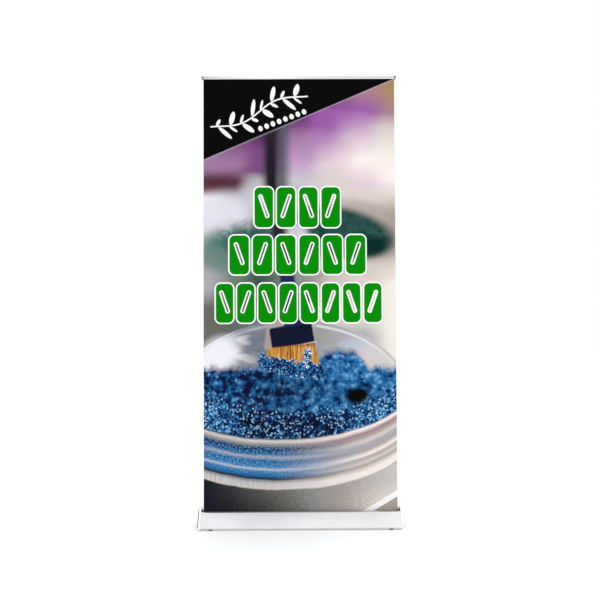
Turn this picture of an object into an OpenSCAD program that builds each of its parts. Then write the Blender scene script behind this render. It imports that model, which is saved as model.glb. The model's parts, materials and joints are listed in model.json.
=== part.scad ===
// Roll-up banner stand with a wide, footless-looking cassette base.
// A spring roller in the base holds the printed film, a telescopic pole
// stands in a socket behind it, and a hinged clamp rail carries the film's top.
//
// Frame: X along the banner, -Y to the front, +Z up.
// Origin: middle of the base's footprint, on the surface that it stands on.

/* [Graphic] */
// Width of the printed film
graphic_w = 914; // [600:1:1200]
// Height of the film that shows between the base and the rail
graphic_h = 2060; // [1600:1:2300]
// Thickness of the film
film_t = 0.4; // [0.2:0.05:0.6]

/* [Base] */
// Gap between the film's edge and the end cap
side_gap = 10; // [8:0.5:30]
// Thickness of each end cap
cap_t = 14; // [12:0.5:20]
// How far the end caps stand proud of the casing
cap_proud = 2; // [1:0.25:3]
// Depth of the casing from toe to back
casing_depth = 212; // [204:1:250]
// Height of the hump's crest above the floor
base_h = 97; // [92:1:112]
// Radius of the rounded back
hump_r = 94; // [86:1:100]
// Height of the front cover's flat top
shoulder_z = 77; // [74:1:82]
// Depth of the front cover's flat top, in front of the slot
shoulder_d = 28; // [20:1:36]
// Width of the slot that the film comes out of
slot_w = 12; // [10:0.5:16]
// Wall of the aluminium extrusions
wall = 1.6; // [1.2:0.1:2.2]

/* [Roller] */
// Outer radius of the roller tube
roller_r = 16; // [15:0.25:18]
// Wall of the roller tube
roller_wall = 1.2; // [1:0.1:2]
// Turns of film left on the roller when the banner is up
spare_turns = 3; // [1:1:5]
// Height of the roller's axis above the floor
roller_z = 46; // [42:0.5:48]
// Radius of the roller's shaft and pin
shaft_r = 4; // [3:0.25:5]

/* [Spring] */
// Diameter of the spring wire
wire_d = 1.8; // [1.2:0.1:2.2]
// Number of coils
coils = 28; // [10:1:40]
// Length of the coiled stretch
spring_l = 252; // [150:1:400]

/* [Pole] */
// Distance from the film to the pole's axis
pole_gap = 25; // [24:0.5:32]
// Outer radius of the lowest tube
pole_r = 12.5; // [12:0.25:14]
// Wall of the pole's tubes
pole_wall = 1.2; // [1:0.1:1.5]
// Radial gap between a tube and the next one inside it
tube_gap = 0.5; // [0.3:0.05:0.8]
// Length that each tube keeps inside the one below
tube_overlap = 90; // [60:1:140]
// How much longer the top tube is than the others
top_extra = 80; // [60:1:120]

/* [Rail] */
// Height of the clamp rail
rail_h = 16; // [15:0.5:20]
// Length of each rail end cap
rail_cap_l = 8; // [5:0.5:14]
// Wall of the rail's profiles
rail_wall = 1.5; // [1.3:0.1:1.8]

/* [Feet] */
// Height of a foot pad
foot_h = 8; // [6:0.5:12]
// Radius of a foot pad
foot_r = 10; // [8:0.5:14]
// Distance from the base's end to a foot's axis
foot_inset_x = 61; // [40:1:120]
// Distance from the casing's front or back to a foot's axis
foot_inset_y = 24; // [22:1:36]
// Radius of a foot's threaded stud
stud_r = 3; // [2.5:0.5:4]

/* [Hidden] */
$fn = 48;
fit = 0.05;        // radial clearance of pieces fixed in each other
running = 0.05;    // radial clearance of a shaft that turns
free = 0.3;        // clearance between pieces that move past each other
guide = 0.08;      // radial clearance of a guide bush in the tube around it

// Lengths along X
casing_l = graphic_w + 2 * side_gap;
cap_x = casing_l / 2;
base_w = casing_l + 2 * cap_t;

// Section of the base, in Y and Z
floor_z = foot_h;
front_y = -casing_depth / 2;
back_y = casing_depth / 2;
hump_c = [back_y - hump_r, base_h - hump_r];
toe_r = 6;
back_r = 5;
hump_nose_r = 8;
front_bulge = 1.2;

// Planes that the film, the pole and the roller share
pole_y = hump_c[0];
film_y = pole_y - pole_gap;
slot_front_y = film_y - slot_w / 2;
slot_rear_y = film_y + slot_w / 2;
shoulder_y = slot_front_y - shoulder_d;
slope_a = atan2(shoulder_z - floor_z, shoulder_y - front_y + toe_r);
toe_y = front_y - toe_r * (1 / tan(slope_a / 2) - 1);
lip_drop = 7;
rear_lip_z = shoulder_z - 1;
slot_z = shoulder_z - 5;
roll_r = roller_r + spare_turns * film_t;
roller_y = film_y - film_t / 2 - roll_r - 0.1;

// Screw ports run the whole length of the extrusions
port_r = 3.6;
port_hole_r = 1.7;
port_sink = 0.8;
port_hump_a = 40;
port_hump_d = hump_r - wall - port_r + port_sink;
shell_ports = [
    [front_y + 42, floor_z + wall + port_r - port_sink],
    [back_y - 42, floor_z + wall + port_r - port_sink],
    hump_c + port_hump_d * [cos(port_hump_a), sin(port_hump_a)]
];
cover_slope = [shoulder_y - toe_y, shoulder_z - floor_z];
cover_normal = [-cover_slope[1], cover_slope[0]] / norm(cover_slope);
cover_port = [shoulder_y, shoulder_z]
    - (wall + port_r - port_sink) * ([0, 1] + cover_normal) / (1 + cover_normal[1]);
ports = concat(shell_ports, [cover_port]);
cap_screw_l = 18;
cap_screw_head_r = 3.4;
cap_screw_head_h = 2.6;
cap_floor_t = 4;
cap_wall = 3.5;

// Roller along X: the tube ends in flanged plugs, which the cradles carry
cradle_t = 4;
cradle_screw_r = 19;
cradle_r = cradle_screw_r + 5;
roller_end_x = cap_x - cradle_t - 1;
plug_flange_t = 3;
tube_end_x = roller_end_x - plug_flange_t;
roller_bore_r = roller_r - roller_wall;
plug_l = 30;
shaft_l = 320;
shaft_flat = shaft_r * 1.5;
coil_r = (roller_bore_r + shaft_r) / 2 + 0.4;
spring_x0 = -tube_end_x + plug_l + 2;

// Pole: three tubes that slide in each other
tube_r = [pole_r, pole_r - pole_wall - tube_gap, pole_r - 2 * (pole_wall + tube_gap)];
socket_floor_t = 3;
socket_r = pole_r + 3;
socket_flange_r = socket_r + 4.5;
socket_flange_h = 2.5;
pole_z = floor_z + wall + socket_floor_t;
plug_rim = 2;
plug_stub = 18;
tube_z0 = pole_z + plug_rim;
head_arm_h = 8.5;
rail_z = slot_z + graphic_h;
tube_top_z = rail_z - 2.5 - head_arm_h;
section_l = (tube_top_z - tube_z0 + 2 * tube_overlap - top_extra) / 3;
lower_top = tube_z0 + section_l;
middle_bottom = lower_top - tube_overlap;
middle_top = middle_bottom + section_l;
upper_bottom = middle_top - tube_overlap;

// Clamps on the pole
collar_grip = 26;
collar_neck = 16;
collar_wall = 4;
ear_t = 5;
ear_gap = 2;
ear_l = 15;
pin_r = 2;
lever_t = 4;
lever_l = 30;
ear_h = 13;
ear_drop = ear_h / 2 + 1.5;

// Rail section, in Y and Z
bead_r = 2;
bead_gap = 0.15;
bead_z = rail_z + rail_h - bead_r - bead_gap - rail_wall;
film_grip = bead_z - bead_r - rail_z - 1.2;
jaw_front_y = film_y - bead_r - bead_gap - rail_wall;
back_plate_y = film_y + film_t / 2;
tongue_t = 5.3;
tongue_gap = 0.2;
channel_w = tongue_t + 2 * tongue_gap;
channel_y = back_plate_y + rail_wall + 0.5;
web_z = bead_z - bead_r - 2.6;
rail_back_y = channel_y + channel_w + rail_wall;

// Feet
foot_x = base_w / 2 - foot_inset_x;
foot_ys = [front_y + foot_inset_y, back_y - foot_inset_y];
stud_top = floor_z + 14;
insert_h = 6;
insert_r = stud_r + 3.5;

FEET = ["front_left", "front_right", "rear_left", "rear_right"];

// ---- Outlines ----

function unit(v) = v / norm(v);

// Points of an arc about c, from angle a0 to a1
function arc(c, r, a0, a1, n = 8) =
    [for (i = [0:n]) c + r * [cos(a0 + (a1 - a0) * i / n), sin(a0 + (a1 - a0) * i / n)]];

// Arc that rounds the corner b of a, b, c, limited by the shorter side
function fillet(a, b, c, r, n = 8) =
    let (u = unit(a - b), v = unit(c - b), half = acos(u * v) / 2,
         reach = min(norm(a - b), norm(c - b)) * 0.49,
         rr = min(r, reach * tan(half)),
         m = b + unit(u + v) * rr / sin(half),
         p = b + u * rr / tan(half) - m, q = b + v * rr / tan(half) - m,
         a0 = atan2(p[1], p[0]), turn = atan2(q[1], q[0]) - a0,
         sweep = turn > 180 ? turn - 360 : turn < -180 ? turn + 360 : turn)
    arc(m, rr, a0, a0 + sweep, n);

// Open path through [y, z, r] corners, whose first and last points stay sharp
function rounded_path(c) =
    [for (i = [0:len(c) - 1])
        let (p = [c[i][0], c[i][1]])
        each (i == 0 || i == len(c) - 1 || c[i][2] == 0) ? [p] :
            fillet([c[i - 1][0], c[i - 1][1]], p, [c[i + 1][0], c[i + 1][1]], c[i][2])];

// Path moved sideways by t: to the right of its direction where t is positive
function beside(path, t) =
    let (n = len(path))
    [for (i = [0:n - 1])
        let (d0 = unit(path[max(i, 1)] - path[max(i, 1) - 1]),
             d1 = unit(path[min(i, n - 2) + 1] - path[min(i, n - 2)]),
             m = unit(d0 + d1), s = [m[1], -m[0]])
        path[i] + s * t / (m * d1)];

// Path without points that repeat the one before
function tidy(path) =
    [for (i = [0:len(path) - 1]) if (i == 0 || norm(path[i] - path[max(i, 1) - 1]) > 0.01) path[i]];

function backwards(path) = [for (i = [len(path) - 1:-1:0]) path[i]];

// Wall of thickness t along a path
function ribbon(path, t) = concat(path, backwards(beside(path, t)));

// Rounded back, from the crest side angle a0 down to the floor, for a casing grown by e
function back_arc(a0, e = 0) =
    let (r = back_r + e, z = floor_z - e + r, rise = z - hump_c[1],
         c = [hump_c[0] + sqrt(pow(hump_r + e - r, 2) - rise * rise), z],
         a1 = atan2(rise, c[0] - hump_c[0]))
    concat(arc(hump_c, hump_r + e, a0, a1, 40), arc(c, r, a1, -90, 8));

// Outer line of the shell: slot lip, hump nose, rounded back, floor
nose_dy = slot_rear_y + hump_nose_r - hump_c[0];
nose_dz = sqrt(pow(hump_r - hump_nose_r, 2) - nose_dy * nose_dy);
nose_a = atan2(nose_dz, nose_dy);
joggle_y = front_y + 14;
shell_line = tidy(concat(
    [[slot_rear_y, rear_lip_z]],
    arc(hump_c + [nose_dy, nose_dz], hump_nose_r, 180, nose_a),
    back_arc(nose_a),
    [[joggle_y, floor_z], [joggle_y - wall, floor_z + wall + fit],
     [joggle_y - 8, floor_z + wall + fit]]));

// Middle of the sloping front, pushed out a little so that the face is crowned
slope_mid = [toe_y, floor_z] + cover_slope / 2 + front_bulge * cover_normal;

// Outer line of the front cover: slot lip, flat top, sloping front, toe
cover_line = rounded_path([
    [slot_front_y, shoulder_z - lip_drop, 0], [slot_front_y, shoulder_z, 2],
    [shoulder_y, shoulder_z, 9], [slope_mid[0], slope_mid[1], 400],
    [toe_y, floor_z, toe_r], [joggle_y - wall - 1, floor_z, 0]]);

// Closed outline of an end cap, grown by e beyond the casing
crest_y = slot_rear_y - 3;
cap_line = tidy(concat(
    rounded_path([
        [0, floor_z, 0], [toe_y, floor_z, toe_r], [slope_mid[0], slope_mid[1], 400],
        [shoulder_y, shoulder_z, 40], [crest_y, base_h, 60], [hump_c[0], base_h, 0]]),
    back_arc(90)));
function cap_outline(e) = beside(cap_line, -e);

module along_x(length) {
    rotate([90, 0, 90]) linear_extrude(length, center = true) children();
}

module tube(r, bore_r, h) {
    difference() {
        cylinder(r = r, h = h);
        translate([0, 0, -1]) cylinder(r = bore_r, h = h + 2);
    }
}

// Cylinder along X from x0 to x1 on the roller's axis
module roller_rod(r, x0, x1) {
    translate([x0, roller_y, roller_z]) rotate([0, 90, 0]) cylinder(r = r, h = x1 - x0);
}

// ---- Base casing ----

module port(p, length) {
    translate([0, p[0], p[1]]) rotate([0, 90, 0]) cylinder(r = port_r, h = length, center = true);
}

module port_hole(p, length) {
    translate([0, p[0], p[1]]) rotate([0, 90, 0])
        cylinder(r = port_hole_r, h = length + 2, center = true);
}

module base_shell() {
    color("silver") difference() {
        union() {
            along_x(casing_l) polygon(ribbon(shell_line, wall));
            for (p = shell_ports) port(p, casing_l);
        }
        for (p = shell_ports) port_hole(p, casing_l);
        translate([0, pole_y, base_h / 2]) cylinder(r = socket_r + free, h = base_h);
        translate([0, pole_y, floor_z - 1]) cylinder(r = 2.2, h = wall + 2);
        for (x = [-foot_x, foot_x], y = foot_ys)
            translate([x, y, floor_z - 1]) cylinder(r = stud_r + free, h = wall + 2);
    }
}

module front_cover() {
    color("silver") difference() {
        union() {
            along_x(casing_l) polygon(ribbon(cover_line, -wall));
            port(cover_port, casing_l);
        }
        port_hole(cover_port, casing_l);
    }
}

// Domed cap with its inner face at x = 0 and its outer face at x = cap_t
module cap_dome() {
    edge = 7;
    hull() for (a = [0:15:90])
        translate([cap_t - edge + edge * sin(a) - (a == 90 ? 0.02 : 0.01), 0, 0])
            rotate([90, 0, 90]) linear_extrude(0.01)
                polygon(cap_outline(cap_proud - edge * (1 - cos(a))));
}

module cap_plate() {
    edge = 7;
    rotate([90, 0, 90]) linear_extrude(cap_t - edge) polygon(cap_outline(cap_proud));
}

module end_cap() {
    difference() {
        union() {
            cap_plate();
            cap_dome();
        }
        difference() {
            translate([-1, 0, 0]) rotate([90, 0, 90])
                linear_extrude(cap_t - cap_floor_t + 1) polygon(cap_outline(-cap_wall));
            for (p = ports) translate([-2, p[0], p[1]]) rotate([0, 90, 0])
                cylinder(r = port_r + 1.2, h = cap_t + 4);
            translate([-2, roller_y, roller_z]) rotate([0, 90, 0])
                cylinder(r = cradle_r + 1, h = cap_t + 4);
        }
        for (p = ports) translate([-1, p[0], p[1]]) rotate([0, 90, 0]) {
            cylinder(r = port_hole_r + 0.3, h = cap_t + 2);
            translate([0, 0, cap_t - cap_screw_head_h - 1]) cylinder(r = cap_screw_head_r + 0.2, h = 10);
        }
        for (a = [90:120:330])
            translate([-1, roller_y + cradle_screw_r * cos(a), roller_z + cradle_screw_r * sin(a)])
                rotate([0, 90, 0]) cylinder(r = 1.3, h = 9);
    }
}

module end_cap_right() { color("gainsboro") translate([cap_x, 0, 0]) end_cap(); }

module end_cap_left() { color("gainsboro") translate([-cap_x, 0, 0]) mirror([1, 0, 0]) end_cap(); }

// Pan-head screw with its head's outer face at the origin, pointing along -X
module screw(r, head_r, head_h, length) {
    rotate([0, -90, 0]) {
        cylinder(r = head_r, h = head_h);
        cylinder(r = r, h = length);
    }
}

module both_ends(x) {
    translate([x, 0, 0]) children();
    mirror([1, 0, 0]) translate([x, 0, 0]) children();
}

module end_cap_screws() {
    color("silver") both_ends(cap_x + cap_t - 2)
        for (p = ports) translate([0, p[0], p[1]]) difference() {
            screw(port_hole_r - 0.1, cap_screw_head_r, cap_screw_head_h - 0.6, cap_screw_l);
            for (turn = [0, 90]) rotate([turn, 0, 0])
                translate([0, 0, 0]) cube([2, 0.8, 3.6], center = true);
        }
}

// Pile strips that line the slot on both sides of the film
wiper_h = 5.5;
wiper_t = slot_w / 2 - film_t / 2 - 1.4;

module slot_wiper_front() {
    color("black") translate([0, slot_front_y + wiper_t / 2, shoulder_z - 1 - wiper_h / 2])
        cube([casing_l - 2, wiper_t, wiper_h], center = true);
}

module slot_wiper_rear() {
    color("black") translate([0, slot_rear_y - wiper_t / 2, rear_lip_z + wiper_h / 2])
        cube([casing_l - 2, wiper_t, wiper_h], center = true);
}

// ---- Roller and its spring ----

module cradle() {
    difference() {
        union() {
            translate([-cradle_t, 0, 0]) rotate([0, 90, 0]) cylinder(r = cradle_r, h = cradle_t);
            translate([-cradle_t - 0.5, 0, 0]) rotate([0, 90, 0])
                cylinder(r = shaft_r + 3, h = cradle_t);
        }
        for (a = [90:120:330])
            translate([-cradle_t - 1, cradle_screw_r * cos(a), cradle_screw_r * sin(a)])
                rotate([0, 90, 0]) cylinder(r = 1.6, h = cradle_t + 2);
        children();
    }
}

module roller_cradle_right() {
    color("dimgray") translate([cap_x, roller_y, roller_z])
        cradle() translate([-10, 0, 0]) rotate([0, 90, 0]) cylinder(r = shaft_r + running, h = 20);
}

module shaft_section(grow) {
    intersection() {
        circle(r = shaft_r + grow);
        square([2 * shaft_r + 4, shaft_flat + 2 * grow], center = true);
    }
}

module roller_cradle_left() {
    color("dimgray") translate([-cap_x, roller_y, roller_z]) mirror([1, 0, 0])
        cradle() translate([-10, 0, 0]) rotate([90, 0, 90]) linear_extrude(20) shaft_section(fit);
}

module cradle_screws() {
    color("silver") both_ends(cap_x - cradle_t) for (a = [90:120:330])
        translate([0, roller_y + cradle_screw_r * cos(a), roller_z + cradle_screw_r * sin(a)])
            mirror([1, 0, 0]) {
                rotate([0, 90, 0]) cylinder(r = 2.4, h = 0.8);
                rotate([0, -90, 0]) cylinder(r = 1.2, h = cradle_t + 6);
            }
}

module spring_shaft() {
    x0 = -cap_x + 0.5;
    color("gray") union() {
        translate([x0, roller_y, roller_z]) rotate([90, 0, 90])
            linear_extrude(cradle_t + 1) shaft_section(0);
        roller_rod(shaft_r, x0 + cradle_t + 0.8, x0 + shaft_l);
    }
}

module spring_anchor() {
    x1 = -cap_x + 0.5 + shaft_l;
    color("dimgray") difference() {
        roller_rod(roller_bore_r - free - 0.4, x1 - 16, x1);
        roller_rod(shaft_r + fit, x1 - 20, x1 + 1);
    }
}

// Coil swept along a helix between the left plug and the anchor
spring_x1 = -cap_x + 0.5 + shaft_l - 16;
coil_steps = 10;
wire_sides = 5;
coil_length = min(spring_l, spring_x1 - spring_x0 - wire_d - 1);

module torsion_spring() {
    rings = coils * coil_steps;
    start = (spring_x0 + spring_x1 - coil_length) / 2;
    points = [for (i = [0:rings], k = [0:wire_sides - 1])
        let (a = 360 * i / coil_steps, b = 360 * k / wire_sides,
             r = coil_r + wire_d / 2 * cos(b))
        [start + coil_length * i / rings + wire_d / 2 * sin(b),
         roller_y + r * cos(a), roller_z + r * sin(a)]];
    sides = [for (i = [0:rings - 1], k = [0:wire_sides - 1])
        let (k2 = (k + 1) % wire_sides, p = i * wire_sides, q = p + wire_sides)
        each [[p + k, p + k2, q + k], [p + k2, q + k2, q + k]]];
    ends = concat([[for (k = [wire_sides - 1:-1:0]) k]],
                  [[for (k = [0:wire_sides - 1]) rings * wire_sides + k]]);
    color("slategray") polyhedron(points, concat(sides, ends));
}

module roller_tube() {
    color("silver") difference() {
        roller_rod(roller_r, -tube_end_x, tube_end_x);
        roller_rod(roller_bore_r, -tube_end_x - 1, tube_end_x + 1);
    }
}

bush_r = shaft_r + 2.5;

module roller_plug_left() {
    color("dimgray") difference() {
        union() {
            roller_rod(roller_r + 0.4, -roller_end_x, -tube_end_x);
            roller_rod(roller_bore_r - fit, -tube_end_x - 0.5, -tube_end_x + plug_l);
        }
        roller_rod(bush_r + fit, -roller_end_x - 1, -tube_end_x + plug_l + 1);
    }
}

module roller_bush() {
    color("goldenrod") difference() {
        roller_rod(bush_r, -roller_end_x, -tube_end_x + plug_l);
        roller_rod(shaft_r + running, -roller_end_x - 1, -tube_end_x + plug_l + 1);
    }
}

module roller_plug_right() {
    color("dimgray") difference() {
        union() {
            roller_rod(roller_r + 0.4, tube_end_x, roller_end_x);
            roller_rod(roller_bore_r - fit, tube_end_x - plug_l, tube_end_x + 0.5);
        }
        roller_rod(shaft_r + fit, tube_end_x - plug_l - 1, roller_end_x + 1);
    }
}

module roller_pin() {
    color("gray") roller_rod(shaft_r, tube_end_x - plug_l, cap_x - 0.5);
}

module film_roll() {
    color("white") difference() {
        roller_rod(roll_r, -graphic_w / 2, graphic_w / 2);
        roller_rod(roller_r + fit, -graphic_w / 2 - 1, graphic_w / 2 + 1);
    }
}

// ---- Feet ----

module at_foot(i) {
    translate([(i % 2 == 0 ? -1 : 1) * foot_x, foot_ys[i < 2 ? 0 : 1], 0]) children();
}

module foot_pad(i) {
    color("dimgray") at_foot(i) difference() {
        union() {
            cylinder(r1 = foot_r - 1, r2 = foot_r, h = 1);
            translate([0, 0, 1]) cylinder(r = foot_r, h = foot_h - 3);
            translate([0, 0, foot_h - 2]) cylinder(r1 = foot_r, r2 = foot_r - 2, h = 2);
        }
        translate([0, 0, foot_h - 5]) cylinder(r = stud_r + fit, h = 6);
    }
}

module foot_stud(i) {
    color("gray") at_foot(i)
        translate([0, 0, foot_h - 5]) cylinder(r = stud_r, h = stud_top - foot_h + 5);
}

module foot_inserts() {
    color("goldenrod") for (i = [0:3]) at_foot(i) translate([0, 0, floor_z + wall]) difference() {
        cylinder(r = insert_r, h = insert_h, $fn = 6);
        translate([0, 0, -1]) cylinder(r = stud_r + running, h = insert_h + 2);
    }
}

// ---- Pole ----

module on_pole(z) {
    translate([0, pole_y, z]) children();
}

module pole_socket() {
    bottom = floor_z + wall;
    color("dimgray") difference() {
        union() {
            on_pole(bottom) cylinder(r = socket_r, h = base_h - bottom);
            difference() {
                on_pole(base_h - 6) cylinder(r = socket_flange_r, h = 6 + socket_flange_h);
                translate([0, hump_c[0], hump_c[1]]) rotate([0, 90, 0])
                    cylinder(r = hump_r + fit, h = base_w, center = true, $fn = 180);
            }
        }
        on_pole(pole_z) cylinder(r = pole_r + 0.15, h = base_h);
        on_pole(bottom - 1) cylinder(r = 1.7, h = socket_floor_t + 2);
    }
}

module socket_screw() {
    color("gray") on_pole(floor_z - 1.2) {
        cylinder(r = 3.8, h = 1.2);
        cylinder(r = 1.6, h = 1.2 + wall + socket_floor_t - 0.4);
    }
}

// Plug for the bottom end of a tube: rim below the end, stub inside it
module end_plug(rim_r, bore_r, hole_r) {
    difference() {
        union() {
            translate([0, 0, -plug_rim]) cylinder(r = rim_r, h = plug_rim);
            translate([0, 0, -0.5]) cylinder(r = bore_r - fit, h = plug_stub + 0.5);
        }
        translate([0, 0, -plug_rim - 1]) cylinder(r = hole_r, h = plug_stub + plug_rim + 2);
    }
}

module pole_foot_plug() {
    color("dimgray") on_pole(tube_z0) end_plug(pole_r, pole_r - pole_wall, 5);
}

module pole_lower_tube() {
    color("silver") on_pole(tube_z0) tube(tube_r[0], tube_r[0] - pole_wall, section_l);
}

module pole_middle_tube() {
    color("silver") on_pole(middle_bottom) tube(tube_r[1], tube_r[1] - pole_wall, section_l);
}

module pole_upper_tube() {
    color("silver") on_pole(upper_bottom)
        tube(tube_r[2], tube_r[2] - pole_wall, tube_top_z - upper_bottom);
}

// Guide at the bottom of a sliding tube, close to the bore of the tube around it
module guide_bush(i) {
    end_plug(tube_r[i] + tube_gap - guide, tube_r[i] - pole_wall, 4);
}

module middle_guide_bush() { color("dimgray") on_pole(middle_bottom) guide_bush(1); }

module upper_guide_bush() { color("dimgray") on_pole(upper_bottom) guide_bush(2); }

// Split collar at the top of tube i, with two ears to the rear for the lever
function collar_r(i) = tube_r[i] + collar_wall;
function ear_y(i) = collar_r(i) + ear_l - 6;
ear_z = collar_neck - ear_drop;

module clamp_collar(i) {
    neck_r = tube_r[i + 1] + free;
    ears_w = 2 * ear_t + ear_gap;
    difference() {
        union() {
            translate([0, 0, -collar_grip]) cylinder(r = collar_r(i), h = collar_grip + collar_neck);
            translate([-ears_w / 2, 0, ear_z - ear_h / 2]) cube([ears_w, ear_y(i), ear_h]);
            translate([-ears_w / 2, ear_y(i), ear_z]) rotate([0, 90, 0])
                cylinder(r = ear_h / 2, h = ears_w);
        }
        translate([0, 0, -collar_grip - 1]) cylinder(r = tube_r[i] + fit, h = collar_grip + 1 + fit);
        translate([0, 0, -1]) cylinder(r = neck_r, h = collar_neck + 2);
        translate([-ear_gap / 2, neck_r - 1, 0.5]) cube([ear_gap, 40, collar_neck + 1]);
        translate([0, ear_y(i), ear_z]) rotate([0, 90, 0])
            cylinder(r = pin_r + running, h = 60, center = true);
    }
}

// Pin through the ears, along X
pin_x0 = ear_t + ear_gap / 2 + 1.5;
module clamp_pin(i) {
    translate([-pin_x0, ear_y(i), ear_z]) rotate([0, 90, 0]) {
        cylinder(r = pin_r, h = 2 * pin_x0 + lever_t);
        translate([0, 0, -1.2]) cylinder(r = pin_r + 1.5, h = 1.2 + 1.5 - 0.1);
    }
}

// Flip lever beside the right ear: it turns on the pin and lies down along the collar
module clamp_lever(i) {
    x0 = ear_t + ear_gap / 2 + free;
    translate([x0, ear_y(i), ear_z]) difference() {
        union() {
            rotate([0, 90, 0]) cylinder(r = 6, h = lever_t);
            translate([0, -3.5, -lever_l]) cube([lever_t, 7, lever_l]);
            translate([0, 0, -lever_l]) rotate([0, 90, 0]) cylinder(r = 3.5, h = lever_t);
            translate([lever_t - 0.5, -3.5, -lever_l]) cube([3.5, 7, 14]);
        }
        translate([-1, 0, 0]) rotate([0, 90, 0]) cylinder(r = pin_r + running, h = lever_t + 8);
    }
}

module lower_clamp_collar() { color("dimgray") on_pole(lower_top) clamp_collar(0); }

module lower_clamp_pin() { color("gray") on_pole(lower_top) clamp_pin(0); }

module lower_clamp_lever() { color("dimgray") on_pole(lower_top) clamp_lever(0); }

module upper_clamp_collar() { color("dimgray") on_pole(middle_top) clamp_collar(1); }

module upper_clamp_pin() { color("gray") on_pole(middle_top) clamp_pin(1); }

module upper_clamp_lever() { color("dimgray") on_pole(middle_top) clamp_lever(1); }

// Head: stub in the top tube, arm to the front, tongue up into the rail's channel
module pole_head() {
    tongue_y = channel_y + tongue_gap;
    tongue_w = 36;
    color("dimgray") union() {
        on_pole(tube_top_z - 30) cylinder(r = tube_r[2] - pole_wall - fit, h = 30.5);
        on_pole(tube_top_z) cylinder(r = tube_r[2] + 2, h = head_arm_h);
        translate([-7, tongue_y, tube_top_z]) cube([14, pole_y - tongue_y, head_arm_h]);
        translate([-tongue_w / 2, tongue_y, tube_top_z])
            cube([tongue_w, tongue_t, web_z - tongue_gap - tube_top_z]);
    }
}

// ---- Rail ----

module rail_body() {
    neck_w = 1.2;
    color("silver") along_x(graphic_w) union() {
        translate([back_plate_y, rail_z]) square([rail_wall, web_z + rail_wall - rail_z]);
        translate([back_plate_y, web_z])
            square([rail_back_y - back_plate_y, rail_wall]);
        translate([rail_back_y - rail_wall, rail_z - 1]) square([rail_wall, web_z + rail_wall - rail_z + 1]);
        translate([back_plate_y + 0.2, web_z]) square([neck_w, bead_z - web_z]);
        translate([film_y, bead_z]) circle(r = bead_r);
    }
}

// Front jaw: a plate whose top edge curls round the bead
module rail_jaw() {
    inner = bead_r + bead_gap;
    outer = inner + rail_wall;
    curl = concat([[0, 0]], arc([0, 0], 2 * outer, 60, 215, 12));
    color("silver") along_x(graphic_w - 1) union() {
        translate([film_y, bead_z]) intersection() {
            difference() {
                circle(r = outer);
                circle(r = inner);
            }
            polygon(curl);
        }
        translate([jaw_front_y, rail_z]) square([rail_wall, bead_z - rail_z]);
        translate([jaw_front_y, rail_z]) square([outer - 0.6, 1]);
    }
}

grip_z = 1.5;
grip_h = 4;
module rail_grip_strip() {
    y0 = jaw_front_y + rail_wall;
    color("black") translate([-graphic_w / 2 + 0.5, y0, rail_z + grip_z])
        cube([graphic_w - 1, film_y - film_t / 2 - 0.05 - y0, grip_h]);
}

module rail_end_cap() {
    y0 = jaw_front_y - 0.3;
    y1 = rail_back_y + 0.3;
    z1 = rail_z + rail_h + 0.3;
    translate([graphic_w / 2, 0, 0]) rotate([90, 0, 90]) linear_extrude(rail_cap_l)
        polygon(concat([[y0, rail_z - 0.5]],
            arc([y0 + 4, z1 - 4], 4, 180, 90, 6), arc([y1 - 7, z1 - 7], 7, 90, 0, 8),
            [[y1, rail_z - 1]]));
    translate([graphic_w / 2 - 12, channel_y + tongue_gap, rail_z])
        cube([12.5, tongue_t, web_z - tongue_gap - rail_z]);
}

module rail_end_cap_right() { color("gray") rail_end_cap(); }

module rail_end_cap_left() { color("gray") mirror([1, 0, 0]) rail_end_cap(); }

// ---- Film ----

module graphic_film() {
    color("mediumpurple") translate([-graphic_w / 2, film_y - film_t / 2, roller_z])
        cube([graphic_w, film_t - 0.02, rail_z + film_grip - roller_z]);
}

base_shell();
front_cover();
end_cap_left();
end_cap_right();
end_cap_screws();
slot_wiper_front();
slot_wiper_rear();
roller_cradle_left();
roller_cradle_right();
cradle_screws();
spring_shaft();
spring_anchor();
torsion_spring();
foot_inserts();
pole_socket();
socket_screw();
roller_tube();
roller_plug_left();
roller_bush();
roller_plug_right();
roller_pin();
film_roll();
pole_foot_plug();
pole_lower_tube();
lower_clamp_collar();
lower_clamp_pin();
lower_clamp_lever();
pole_middle_tube();
middle_guide_bush();
upper_clamp_collar();
upper_clamp_pin();
upper_clamp_lever();
pole_upper_tube();
upper_guide_bush();
pole_head();
rail_body();
rail_jaw();
rail_grip_strip();
rail_end_cap_left();
rail_end_cap_right();
graphic_film();
for (i = [0:3]) {
    foot_pad(i);
    foot_stud(i);
}
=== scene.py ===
"""Roll-up banner stand: the visible pieces, their finishes and the studio."""

import json
import math
import random

import bmesh
import bpy
from bpy.props import FloatProperty, FloatVectorProperty, IntProperty, PointerProperty
from mathutils import Matrix, Vector

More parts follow.
